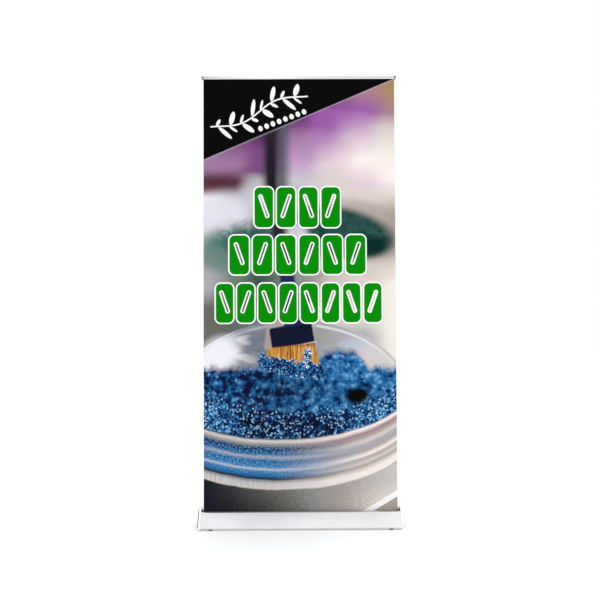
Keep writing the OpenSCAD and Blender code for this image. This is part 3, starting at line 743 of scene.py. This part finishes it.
def new_piece(name, points, faces):
    """A mesh piece from points in metres and faces."""
    mesh = bpy.data.meshes.new(name)
    mesh.from_pydata([tuple(p) for p in points], [], faces)
    return placed(name, mesh)


def placed(name, mesh):
    piece = bpy.data.objects.new(name, mesh)
    bpy.context.scene.collection.objects.link(piece)
    return piece


def band(n, low, high):
    """Faces between two closed rings of n points, which start at low and high."""
    pairs = [(i, (i + 1) % n) for i in range(n)]
    return [(low + i, low + j, high + j, high + i) for i, j in pairs]


def shade(piece, sharp=35.0):
    """Smooth shading that keeps the edges sharper than an angle in degrees."""
    mesh = piece.data
    mesh.polygons.foreach_set("use_smooth", [True] * len(mesh.polygons))
    mesh.set_sharp_from_angle(angle=math.radians(sharp))
    return piece


def settle(piece):
    """Applies a piece's modifiers to its mesh."""
    scene = bpy.context.evaluated_depsgraph_get()
    mesh = bpy.data.meshes.new_from_object(piece.evaluated_get(scene), depsgraph=scene)
    piece.modifiers.clear()
    piece.data = mesh
    return piece


def tidy_normals(piece):
    work = bmesh.new()
    work.from_mesh(piece.data)
    bmesh.ops.remove_doubles(work, verts=work.verts, dist=SAME_POINT)
    bmesh.ops.recalc_face_normals(work, faces=work.faces)
    work.to_mesh(piece.data)
    work.free()
    return piece


def take_over(piece, *nodes):
    """The piece stands for CAD nodes, rides on their body and wears their finish."""
    slot = slot_of(nodes[0])
    if not piece.data.materials:
        piece.data.materials.append(finish_of(slot))
    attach(piece, frame["nodes"][nodes[0]]["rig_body"])
    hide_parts(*nodes)
    return piece


def ease_edges(piece, width, steps=2, angle=30.0):
    """Rounds a piece's sharp edges a little, as if tumbled or moulded."""
    bevel = piece.modifiers.new("eased edges", "BEVEL")
    bevel.width, bevel.segments = width, steps
    bevel.limit_method, bevel.angle_limit = "ANGLE", math.radians(angle)
    bevel.use_clamp_overlap = True
    return settle(piece)


def copy_of(node, name, ease=0.0, steps=2, sharp=35.0):
    """A piece with a CAD solid's shape, its facets joined and its edges eased."""
    work = bmesh.new()
    work.from_mesh(frame["nodes"][node].data)
    bmesh.ops.remove_doubles(work, verts=work.verts, dist=SAME_POINT)
    bmesh.ops.dissolve_limit(
        work,
        angle_limit=math.radians(0.4),
        verts=work.verts,
        edges=work.edges,
        use_dissolve_boundaries=False,
    )
    bmesh.ops.recalc_face_normals(work, faces=work.faces)
    mesh = bpy.data.meshes.new(name)
    work.to_mesh(mesh)
    work.free()
    piece = placed(name, mesh)
    if ease:
        ease_edges(piece, ease, steps)
    return shade(piece, sharp)


def join_pieces(piece, *others):
    """Joins other pieces' meshes into one piece."""
    work = bmesh.new()
    for part in (piece, *others):
        work.from_mesh(part.data)
    work.to_mesh(piece.data)
    work.free()
    for part in others:
        bpy.data.objects.remove(part)
    return piece


def turned(name, profile, centre, axis="Z", around=64, flutes=0, flute_depth=0.0):
    """A piece turned on a lathe from (radius, height) points, in metres."""
    points, faces, rings = [], [], []
    for radius, height in profile:
        if radius == 0:
            rings.append([len(points)])
            points.append((0.0, 0.0, height))
            continue
        rings.append(range(len(points), len(points) + around))
        for i in range(around):
            a = 2 * math.pi * i / around
            cut = flute_depth * (0.5 + 0.5 * math.cos(flutes * a)) if flutes else 0.0
            r = radius - cut
            points.append((r * math.cos(a), r * math.sin(a), height))
    for low, high in zip(rings, rings[1:]):
        for i in range(around):
            j = (i + 1) % around
            if len(low) == 1:
                faces.append((low[0], high[j], high[i]))
            elif len(high) == 1:
                faces.append((low[i], low[j], high[0]))
            else:
                faces.append((low[i], low[j], high[j], high[i]))
    swap = {"Z": (0, 1, 2), "X": (2, 0, 1)}[axis]
    moved = [tuple(p[swap[k]] + centre[k] for k in range(3)) for p in points]
    return tidy_normals(new_piece(name, moved, faces))


def extruded(name, outline, x0, x1):
    """A closed (y, z) outline in metres run along X."""
    n = len(outline)
    points = [(x, y, z) for x in (x0, x1) for y, z in outline]
    ends = [tuple(range(n)), tuple(range(2 * n - 1, n - 1, -1))]
    return tidy_normals(new_piece(name, points, band(n, 0, n) + ends))


# ---- Outlines of the base, in millimetres as (y, z) ----


def arc(centre, radius, start, end, steps=10):
    turns = [math.radians(start + (end - start) * i / steps) for i in range(steps + 1)]
    return [
        Vector((centre[0] + radius * math.cos(a), centre[1] + radius * math.sin(a)))
        for a in turns
    ]


def fillet(a, b, c, radius):
    """Arc that rounds the corner b of a, b, c, limited by the shorter side."""
    u, v = (a - b).normalized(), (c - b).normalized()
    half = math.acos(max(-1, min(1, u.dot(v)))) / 2
    reach = min((a - b).length, (c - b).length) * 0.49
    radius = min(radius, reach * math.tan(half))
    middle = b + (u + v).normalized() * radius / math.sin(half)
    p = b + u * radius / math.tan(half) - middle
    q = b + v * radius / math.tan(half) - middle
    start = math.degrees(math.atan2(p.y, p.x))
    sweep = math.degrees(math.atan2(q.y, q.x)) - start
    sweep = (sweep + 180) % 360 - 180
    return arc(middle, radius, start, start + sweep)


def rounded_path(corners):
    """Path through (y, z, radius) corners, whose ends stay sharp."""
    path = []
    for i, (y, z, radius) in enumerate(corners):
        here = Vector((y, z))
        if i in (0, len(corners) - 1) or radius == 0:
            path.append(here)
        else:
            before, after = Vector(corners[i - 1][:2]), Vector(corners[i + 1][:2])
            path += fillet(before, here, after, radius)
    return path


def grown(loop, by):
    """A closed loop moved outwards by a distance; the loop runs clockwise."""
    out = []
    for i, here in enumerate(loop):
        d0 = (here - loop[i - 1]).normalized()
        d1 = (loop[(i + 1) % len(loop)] - here).normalized()
        m = (d0 + d1).normalized()
        out.append(here + Vector((-m.y, m.x)) * by / max(0.3, m.dot(d1)))
    return out


HUMP_RADIUS = 94.0
TOE_RADIUS = 6.0
BACK_RADIUS = 5.0
SHOULDER_Y = -47.0
SHOULDER_RADIUS = 40
FRONT_CROWN = 1.2
FRONT_RADIUS = 400
HUMP_START_Y = -10
HUMP_START_RADIUS = 60


def cap_outline(sizes):
    """Side view of the base, as the end caps follow it."""
    floor = sizes.floor_height / MM
    shoulder = sizes.shoulder_height / MM
    hump_top = sizes.hump_height / MM
    front, back = -sizes.casing_depth / 2 / MM, sizes.casing_depth / 2 / MM
    hump = Vector((back - HUMP_RADIUS, hump_top - HUMP_RADIUS))
    slope = math.atan2(shoulder - floor, SHOULDER_Y - front + TOE_RADIUS)
    toe = Vector((front - TOE_RADIUS * (1 / math.tan(slope / 2) - 1), floor))
    run = Vector((SHOULDER_Y - toe.x, shoulder - floor))
    middle = toe + run / 2 + Vector((-run.y, run.x)).normalized() * FRONT_CROWN
    rise = floor + BACK_RADIUS - hump.y
    out = math.sqrt((HUMP_RADIUS - BACK_RADIUS) ** 2 - rise * rise)
    corner = Vector((hump.x + out, floor + BACK_RADIUS))
    turn = math.degrees(math.atan2(rise, corner.x - hump.x))
    line = rounded_path(
        [
            (0, floor, 0),
            (toe.x, floor, TOE_RADIUS),
            (middle.x, middle.y, FRONT_RADIUS),
            (SHOULDER_Y, shoulder, SHOULDER_RADIUS),
            (HUMP_START_Y, hump_top, HUMP_START_RADIUS),
            (hump.x, hump_top, 0),
        ]
    )
    line += arc(hump, HUMP_RADIUS, 90, turn, 48) + arc(corner, BACK_RADIUS, turn, -90)
    outline = [line[0]]
    for point in line[1:]:
        if (point - outline[-1]).length > 0.01:
            outline.append(point)
    return outline


# ---- Settings ----


class FilmSettings(bpy.types.PropertyGroup):
    """Sizes of the film's surface."""

    ripple: FloatProperty(
        name="Ripple",
        description="Height of the shallow tension waves in the film",
        default=0.5 * MM,
        unit="LENGTH",
    )
    edge_curl: FloatProperty(
        name="Edge curl",
        description="How far the film's side edges lean back in the middle",
        default=1.6 * MM,
        unit="LENGTH",
    )
    turns: IntProperty(
        name="Turns on the roller",
        description="Turns of film that stay wound up when the banner is raised",
        default=3,
        min=1,
    )


class BaseSettings(bpy.types.PropertyGroup):
    """Sizes of the base's pieces."""

    floor_height: FloatProperty(
        name="Underside",
        description="Height of the casing's underside above the floor",
        default=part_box("base_shell")[0].z,
        unit="LENGTH",
    )
    shoulder_height: FloatProperty(
        name="Shoulder",
        description="Height of the front cover's flat top",
        default=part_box("front_cover")[1].z,
        unit="LENGTH",
    )
    hump_height: FloatProperty(
        name="Hump",
        description="Height of the rounded hump behind the film",
        default=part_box("base_shell")[1].z,
        unit="LENGTH",
    )
    casing_depth: FloatProperty(
        name="Casing depth",
        description="Depth of the casing from toe to back",
        default=212 * MM,
        unit="LENGTH",
    )
    cap_proud: FloatProperty(
        name="Cap proud",
        description="How far the end caps stand proud of the casing",
        default=2 * MM,
        unit="LENGTH",
    )
    cap_edge: FloatProperty(
        name="Cap edge radius",
        description="Radius of the end caps' outer edge",
        default=7 * MM,
        unit="LENGTH",
    )
    bristle_pitch: FloatProperty(
        name="Bristle pitch",
        description="Distance between the tufts of the slot's pile strips",
        default=1.1 * MM,
        unit="LENGTH",
    )


class StudioSettings(bpy.types.PropertyGroup):
    """Light and floor."""

    floor_colour: FloatVectorProperty(
        name="Floor colour",
        description="Colour of the studio floor",
        default=(0.93, 0.93, 0.93),
        size=3,
        subtype="COLOR",
    )
    key_power: FloatProperty(
        name="Key light",
        description="Power of the large soft light in front",
        default=14.0,
        unit="POWER",
    )
    side_power: FloatProperty(
        name="Side light",
        description="Power of the soft light on the right",
        default=22.0,
        unit="POWER",
    )
    surround: FloatProperty(
        name="Walls", description="Brightness of the white studio walls", default=0.78
    )
    ceiling: FloatProperty(
        name="Ceiling", description="Brightness of the lit ceiling", default=1.36
    )


# ---- Pieces ----


class BANNER_OT_printed_film(bpy.types.Operator):
    """Make the printed film between the roller and the rail"""

    bl_idname = "banner.printed_film"
    bl_label = "Printed film"

    def execute(self, context):
        sizes = context.scene.banner_film
        low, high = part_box("graphic_film")
        across, up = 72, 200
        wide = across + 1
        thick = high.y - low.y
        half = high.x
        held_below, held_above, release = 0.12, 2.1, 0.3

        def depth(x, z):
            free = min(1, max(0, (z - held_below) / release))
            free *= min(1, max(0, (held_above - z) / release))
            free = free * free * (3 - 2 * free)
            ripple = math.sin(8.3 * x + 1.7 * z + 0.6) * math.sin(2.9 * z - 0.4)
            ripple += 0.6 * math.sin(15.7 * x - 1.1 * z) * math.sin(5.1 * z + 1.3)
            curl = sizes.edge_curl * (abs(x) / half) ** 7
            return free * (sizes.ripple * ripple + curl)

        grid = []
        for j in range(up + 1):
            z = low.z + (high.z - low.z) * j / up
            for i in range(wide):
                x = -half + 2 * half * i / across
                grid.append((x, low.y + depth(x, z), z))
        n = len(grid)
        points = grid + [(x, y + thick, z) for x, y, z in grid]
        corners = [j * wide + i for j in range(up) for i in range(across)]
        front = [(a, a + 1, a + 1 + wide, a + wide) for a in corners]
        back = [(n + a, n + d, n + c, n + b) for a, b, c, d in front]
        rim = list(range(across)) + [j * wide + across for j in range(up)]
        rim += [up * wide + i for i in range(across, 0, -1)]
        rim += [j * wide for j in range(up, 0, -1)]
        edge = [(a, n + a, n + b, b) for a, b in zip(rim, rim[1:] + rim[:1])]
        piece = new_piece("printed_banner_film", points, front + back + edge)
        for slot in ("printed_film", "film_back"):
            piece.data.materials.append(finish_of(slot))
        sides = [0] * len(front) + [1] * (len(back) + len(edge))
        piece.data.polygons.foreach_set("material_index", sides)
        shade(piece, 60)
        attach(piece, "base")
        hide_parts("graphic_film")
        tall = high.z - low.z
        joints = {joint["name"]: joint for joint in frame["joints"]}
        travel = -joints["banner_height"]["range_m"][0]
        1 - travel / tall
        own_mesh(piece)
        return {"FINISHED"}


class BANNER_OT_film_roll(bpy.types.Operator):
    """Wind the film that stays on the roller as a spiral"""

    bl_idname = "banner.film_roll"
    bl_label = "Film on the roller"

    def execute(self, context):
        turns = context.scene.banner_film.turns
        low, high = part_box("film_roll")
        centre = (low + high) / 2
        thick = 0.3 * MM
        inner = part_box("roller_tube")[1].z - centre.z + 0.03 * MM
        outer = (high.z - low.z) / 2 - thick
        around = 60
        steps = around * turns
        line = []
        for i in range(steps + 1):
            a = -2 * math.pi * turns * i / steps + math.pi
            line.append((inner + (outer - inner) * i / steps, a))
        there_and_back = line + [(r + thick, a) for r, a in reversed(line)]
        outline = [
            (centre.y + r * math.cos(a), centre.z + r * math.sin(a))
            for r, a in there_and_back
        ]
        n = len(outline)
        points = [(x, y, z) for x in (low.x, high.x) for y, z in outline]
        faces = band(n, 0, n)
        for i in range(steps):
            j = n - 1 - i
            faces.append((i, j, j - 1, i + 1))
            faces.append((n + i, n + i + 1, n + j - 1, n + j))
        piece = tidy_normals(new_piece("film_on_the_roller", points, faces))
        take_over(shade(piece), "film_roll")
        length = sum(2 * math.pi * r / around for r, a in line[1:])
        return {"FINISHED"}


class BANNER_OT_casing(bpy.types.Operator):
    """Make the base's two aluminium extrusions"""

    bl_idname = "banner.casing"
    bl_label = "Casing"

    def execute(self, context):
        take_over(copy_of("base_shell", "casing_shell", sharp=28), "base_shell")
        take_over(copy_of("front_cover", "casing_front_cover", sharp=28), "front_cover")
        return {"FINISHED"}


class BANNER_OT_end_caps(bpy.types.Operator):
    """Make the two polished end caps, with a rounded edge and sunk screws"""

    bl_idname = "banner.end_caps"
    bl_label = "End caps"

    # In millimetres: how far the rim reaches inwards and how deep the cap is hollowed
    RIM, HOLLOW = 3.5, 4
    SCREW_HEADS_FROM = 478 * MM

    def execute(self, context):
        sizes = context.scene.banner_base
        line = cap_outline(sizes)
        proud, edge = sizes.cap_proud / MM, sizes.cap_edge / MM
        for side, node in ((-1, "end_cap_left"), (1, "end_cap_right")):
            low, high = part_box(node)
            inner = min(abs(low.x), abs(high.x)) / MM
            outer = max(abs(low.x), abs(high.x)) / MM
            rings = [
                (outer - self.HOLLOW, grown(line, -self.RIM - 2)),
                (outer - self.HOLLOW, grown(line, -self.RIM)),
                (inner, grown(line, -self.RIM)),
                (inner, grown(line, proud - 0.4)),
                (inner + 0.4, grown(line, proud)),
            ]
            for step in range(16):
                a = math.radians(90 * step / 15)
                by = proud - (edge - 0.1) * (1 - math.cos(a))
                rings.append((outer - edge + edge * math.sin(a), grown(line, by)))
            flat = grown(line, proud - edge + 0.1)
            middle = sum(flat, Vector((0, 0))) / len(flat)
            rings.append((outer, [middle + (p - middle) * 0.97 for p in flat]))
            n = len(line)
            points = [
                (side * x * MM, p.x * MM, p.y * MM) for x, ring in rings for p in ring
            ]
            faces = []
            for k in range(len(rings) - 1):
                faces += band(n, k * n, (k + 1) * n)
            last = len(points) - 1
            faces += [tuple(range(n)), tuple(range(last, last - n, -1))]
            piece = tidy_normals(new_piece(node + "_polished", points, faces))
            recess = [(0, -6), (3.6, -6), (3.6, -0.5), (4.3, 0.2), (4.3, 3), (0, 3)]
            recess = [(r * MM, h * MM) for r, h in recess]
            cutters = []
            for y, z in self.screw_places(side):
                cutter = turned("recess", recess, (0, 0, 0), "X", 40)
                to_place = Matrix.Translation((side * outer * MM, y, z))
                cutter.data.transform(to_place @ Matrix.Diagonal((side, 1, 1, 1)))
                cutters.append(tidy_normals(cutter))
            for cutter in cutters:
                cut = piece.modifiers.new("recess", "BOOLEAN")
                cut.operation, cut.object, cut.solver = "DIFFERENCE", cutter, "EXACT"
            settle(piece)
            for cutter in cutters:
                bpy.data.objects.remove(cutter)
            take_over(shade(piece, 32), node)
        return {"FINISHED"}

    def screw_places(self, side):
        """Middles of the screws' heads on one side, from the screws' own solid."""
        mesh = frame["nodes"]["end_cap_screws"].data
        groups = []
        for co in (v.co for v in mesh.vertices):
            if co.x * side <= self.SCREW_HEADS_FROM:
                continue
            for group in groups:
                if math.hypot(group[0].y - co.y, group[0].z - co.z) < 8 * MM:
                    group.append(co)
                    break
            else:
                groups.append([co])
        places = []
        for group in groups:
            ys, zs = [c.y for c in group], [c.z for c in group]
            places.append(((min(ys) + max(ys)) / 2, (min(zs) + max(zs)) / 2))
        return places


class BANNER_OT_slot_wipers(bpy.types.Operator):
    """Make the pile strips on both sides of the slot, tuft by tuft"""

    bl_idname = "banner.slot_wipers"
    bl_label = "Slot wipers"

    def execute(self, context):
        pitch = context.scene.banner_base.bristle_pitch
        draw = random.Random(7)
        rows = 5
        corners = ((-1, -1), (1, -1), (1, 1), (-1, 1))
        for node, inwards in (("slot_wiper_front", 1), ("slot_wiper_rear", -1)):
            low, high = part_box(node)
            back, tips = (low.y, high.y) if inwards > 0 else (high.y, low.y)
            spine = back + inwards * 1.2 * MM
            root = spine - inwards * 0.2 * MM
            outline = [(back, low.z), (spine, low.z), (spine, high.z), (back, high.z)]
            piece = extruded(node + "_pile", outline, low.x, high.x)
            points, faces = [], []
            wide, tall = 0.46 * pitch, 0.46 * (high.z - low.z) / rows
            for i in range(int((high.x - low.x) / pitch)):
                for row in range(rows):
                    x = low.x + (i + 0.5 + draw.uniform(-0.2, 0.2)) * pitch
                    z = low.z + (row + 0.5) / rows * (high.z - low.z)
                    reach = tips - inwards * draw.uniform(0, 0.5) * MM
                    tip = x + draw.uniform(-0.25, 0.25) * MM
                    n = len(points)
                    for a, b in corners:
                        points.append((x + a * wide, root, z + b * tall))
                    for a, b in corners:
                        points.append((tip + a * wide * 0.5, reach, z + b * tall * 0.6))
                    faces += band(4, n, n + 4)
                    faces += [(n + 4, n + 5, n + 6, n + 7), (n + 3, n + 2, n + 1, n)]
            join_pieces(piece, tidy_normals(new_piece("tufts", points, faces)))
            take_over(shade(piece, 30), node)
        return {"FINISHED"}


class BANNER_OT_feet(bpy.types.Operator):
    """Make the four levelling feet: knurled rubber pads on threaded studs"""

    bl_idname = "banner.feet"
    bl_label = "Feet"

    def execute(self, context):
        for corner in ("front_left", "front_right", "rear_left", "rear_right"):
            low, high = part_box("foot_pad_" + corner)
            centre = ((low.x + high.x) / 2, (low.y + high.y) / 2, 0)
            self.pad(corner, centre, (high.x - low.x) / 2, high.z)
            low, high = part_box("foot_stud_" + corner)
            self.stud(corner, centre, (high.x - low.x) / 2, low.z, high.z)
        return {"FINISHED"}

    def pad(self, corner, centre, r, h):
        """Rubber pad: a ringed sole, a knurled side and a socket for the stud."""
        sole = [(0, 0.9), (5.2, 0.9), (5.6, 0.5), (6.0, 0), (8.9, 0)]
        sole += [(9.6, 0.25), (9.9, 0.9)]
        top = [(1, 2.2), (0.97, 1.4), (0.88, 0.9), (0.62, 0.5), (0.56, 0.1), (0.5, 0)]
        socket_r, socket_floor = 3.1 * MM, h - 4.9 * MM
        profile = [(a * r / 10, b * MM) for a, b in sole] + [(r, 1.5 * MM)]
        profile += [(a * r, h - b * MM) for a, b in top]
        profile += [(socket_r, h), (socket_r, socket_floor), (0, socket_floor)]
        name = "foot_pad_" + corner
        pad = turned(
            name + "_knurled",
            profile,
            centre,
            around=96,
            flutes=24,
            flute_depth=0.28 * MM,
        )
        take_over(shade(pad, 40), name)

    def stud(self, corner, centre, r, bottom, top):
        """Stud with a helical thread that fades out at both ends."""
        pitch, depth, around = 1.0 * MM, 0.42 * MM, 28
        rows = int((top - bottom) / (pitch / 4))
        points, faces = [], []
        for j in range(rows + 1):
            z = bottom + (top - bottom) * j / rows
            end = min(1, min(j, rows - j) / 4)
            for i in range(around):
                a = 2 * math.pi * i / around
                turn = ((z - bottom) / pitch - i / around) % 1
                ridge = 1 - abs(2 * turn - 1)
                rr = (r - depth) + depth * ridge * end
                x, y = centre[0] + rr * math.cos(a), centre[1] + rr * math.sin(a)
                points.append((x, y, z))
        for j in range(rows):
            faces += band(around, j * around, (j + 1) * around)
        faces += [tuple(range(around)), tuple(range(len(points) - around, len(points)))]
        name = "foot_stud_" + corner
        stud = tidy_normals(new_piece(name + "_threaded", points, faces))
        take_over(shade(stud, 50), name)


class BANNER_OT_pole(bpy.types.Operator):
    """Make the telescopic pole's tubes, head and socket"""

    bl_idname = "banner.pole"
    bl_label = "Pole"

    def execute(self, context):
        for node in ("pole_lower_tube", "pole_middle_tube", "pole_upper_tube"):
            take_over(copy_of(node, node + "_drawn", 0.25 * MM), node)
        for node, ease in (("pole_head", 0.6), ("pole_socket", 0.5)):
            take_over(copy_of(node, node + "_moulded", ease * MM, 3), node)
        return {"FINISHED"}


class BANNER_OT_clamps(bpy.types.Operator):
    """Make the pole's two clamps: collars, pins and flip levers"""

    bl_idname = "banner.clamps"
    bl_label = "Pole clamps"

    def execute(self, context):
        for level in ("lower", "upper"):
            for kind, made, ease in (
                ("collar", "moulded", 0.45),
                ("pin", "turned", 0.2),
                ("lever", "moulded", 0.5),
            ):
                node = level + "_clamp_" + kind
                take_over(copy_of(node, node + "_" + made, ease * MM), node)
        return {"FINISHED"}


class BANNER_OT_rail(bpy.types.Operator):
    """Make the clamp rail: body, hinged jaw, grip strip and end caps"""

    bl_idname = "banner.rail"
    bl_label = "Clamp rail"

    def execute(self, context):
        for node in ("rail_body", "rail_jaw"):
            take_over(copy_of(node, node + "_extruded", 0.2 * MM), node)
        for node in ("rail_end_cap_left", "rail_end_cap_right"):
            take_over(copy_of(node, node + "_moulded", 0.7 * MM, 3), node)
        low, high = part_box("rail_grip_strip")
        ribs = 4
        tall = (high.z - low.z) / ribs
        root = high.y - 0.6 * MM
        outline = [(low.y, low.z), (low.y, high.z)]
        for i in reversed(range(ribs)):
            for y, share in ((root, 0.95), (high.y, 0.7), (high.y, 0.3), (root, 0.05)):
                outline.append((y, low.z + i * tall + tall * share))
        strip = extruded("rail_grip_strip_ribbed", outline, low.x, high.x)
        take_over(shade(strip, 30), "rail_grip_strip")
        return {"FINISHED"}


class BANNER_OT_inner_parts(bpy.types.Operator):
    """Give the pieces inside the base and the pole their finishes"""

    bl_idname = "banner.inner_parts"
    bl_label = "Inner parts"

    def execute(self, context):
        for name, node in frame["nodes"].items():
            if not node.hide_render:
                node.material_slots[0].material = finish_of(slot_of(name))
        return {"FINISHED"}


class BANNER_OT_studio(bpy.types.Operator):
    """Set up the pale floor, the soft lights and the camera"""

    bl_idname = "banner.studio"
    bl_label = "Studio"

    CAMERA_PLACE = (-0.0342, -4.961, 0.862)
    # Degrees: tilt upwards, turn to the right, and roll
    CAMERA_ANGLES = (2.429, 0.408, -0.264)

    def execute(self, context):
        sizes = context.scene.banner_studio
        self.floor(sizes.floor_colour)
        key = sizes.key_power
        self.lamp("key_softbox", (-1.2, -5.5, 3.4), 3.2, key)
        self.lamp("side_softbox", (4.2, -2.6, 2.0), 2.2, sizes.side_power)
        self.lamp("back_softbox", (0.5, 5.0, 3.6), 3.2, key * 0.6)
        self.surround(context.scene, sizes.surround, sizes.ceiling)
        camera = bpy.data.objects.new("camera", bpy.data.cameras.new("camera"))
        context.scene.collection.objects.link(camera)
        camera.data.lens = 62.5
        camera.data.clip_end = 200
        pitch, yaw, roll = (math.radians(a) for a in self.CAMERA_ANGLES)
        look = Matrix.Rotation(-yaw, 3, "Z")
        look = look @ Matrix.Rotation(math.pi / 2 + pitch, 3, "X")
        look = look @ Matrix.Rotation(roll, 3, "Z")
        camera.matrix_world = Matrix.Translation(self.CAMERA_PLACE) @ look.to_4x4()
        context.scene.camera = camera
        context.scene.view_settings.view_transform = "Standard"
        return {"FINISHED"}

    def floor(self, colour):
        corners = [(-60, -60, 0), (60, -60, 0), (60, 60, 0), (-60, 60, 0)]
        floor = new_piece("studio_floor", corners, [(0, 1, 2, 3)])
        paint = Finish("studio floor paint")
        tone = paint.noise(paint.place, 0.8, 2.0)
        pale = tuple(colour)
        paint.set(
            Base_Color=paint.mix(tone, pale, tuple(c * 0.99 for c in pale)),
            Roughness=0.9,
            Specular_IOR_Level=0.1,
            Emission_Color=(1, 1, 1),
            Emission_Strength=0.24,
        )
        floor.data.materials.append(paint.material)

    def lamp(self, name, place, size, power):
        light = bpy.data.lights.new(name, "AREA")
        light.shape, light.size, light.energy = "DISK", size, power
        lamp = bpy.data.objects.new(name, light)
        bpy.context.scene.collection.objects.link(lamp)
        lamp.location = place
        aim = Vector((0, 0, 1.0)) - Vector(place)
        lamp.rotation_euler = aim.to_track_quat("-Z", "Y").to_euler()
        lamp.visible_camera = False

    def surround(self, scene, walls, ceiling):
        """White studio with a bright ceiling and darker ends, seen in the metal."""
        world = bpy.data.worlds.new("studio surround")
        scene.world = world
        world.use_nodes = True
        tree = world.node_tree
        tree.nodes.clear()
        place = Value(tree, tree.nodes.new("ShaderNodeTexCoord").outputs["Generated"])
        across, up = x_and_z(tree, place)
        ends = across.between(-0.25, -0.7, 1.0, 0.08)
        ends = ends * across.between(0.7, 0.9, 1.0, 0.12)
        rays = tree.nodes.new("ShaderNodeLightPath")
        seen = Value(tree, rays.outputs["Is Camera Ray"])
        strength = (ends * up.between(0.1, 0.8, walls, ceiling)).at_least(seen)
        background = tree.nodes.new("ShaderNodeBackground")
        join(tree, background.inputs["Color"], (1, 1, 1))
        join(tree, background.inputs["Strength"], strength)
        output = tree.nodes.new("ShaderNodeOutputWorld")
        tree.links.new(background.outputs[0], output.inputs[0])


STEPS = (
    BANNER_OT_printed_film,
    BANNER_OT_film_roll,
    BANNER_OT_casing,
    BANNER_OT_end_caps,
    BANNER_OT_slot_wipers,
    BANNER_OT_feet,
    BANNER_OT_pole,
    BANNER_OT_clamps,
    BANNER_OT_rail,
    BANNER_OT_inner_parts,
    BANNER_OT_studio,
)


class BANNER_PT_stand(bpy.types.Panel):
    """Lists the steps that build the banner stand"""

    bl_label = "Banner stand"
    bl_idname = "BANNER_PT_stand"
    bl_space_type = "VIEW_3D"
    bl_region_type = "UI"
    bl_category = "Banner stand"

    def draw(self, context):
        for group in ("banner_film", "banner_base", "banner_studio"):
            settings = getattr(context.scene, group)
            for name in settings.__annotations__:
                self.layout.prop(settings, name)
        for step in STEPS:
            self.layout.operator(step.bl_idname)


CLASSES = (FilmSettings, BaseSettings, StudioSettings, *STEPS, BANNER_PT_stand)


def register():
    for cls in CLASSES:
        bpy.utils.register_class(cls)
    bpy.types.Scene.banner_film = PointerProperty(type=FilmSettings)
    bpy.types.Scene.banner_base = PointerProperty(type=BaseSettings)
    bpy.types.Scene.banner_studio = PointerProperty(type=StudioSettings)


def unregister():
    del bpy.types.Scene.banner_film
    del bpy.types.Scene.banner_base
    del bpy.types.Scene.banner_studio
    for cls in reversed(CLASSES):
        bpy.utils.unregister_class(cls)


def main():
    register()
    for step in STEPS:
        group, name = step.bl_idname.split(".")
        getattr(getattr(bpy.ops, group), name)()


if __name__ == "__main__":
    main()
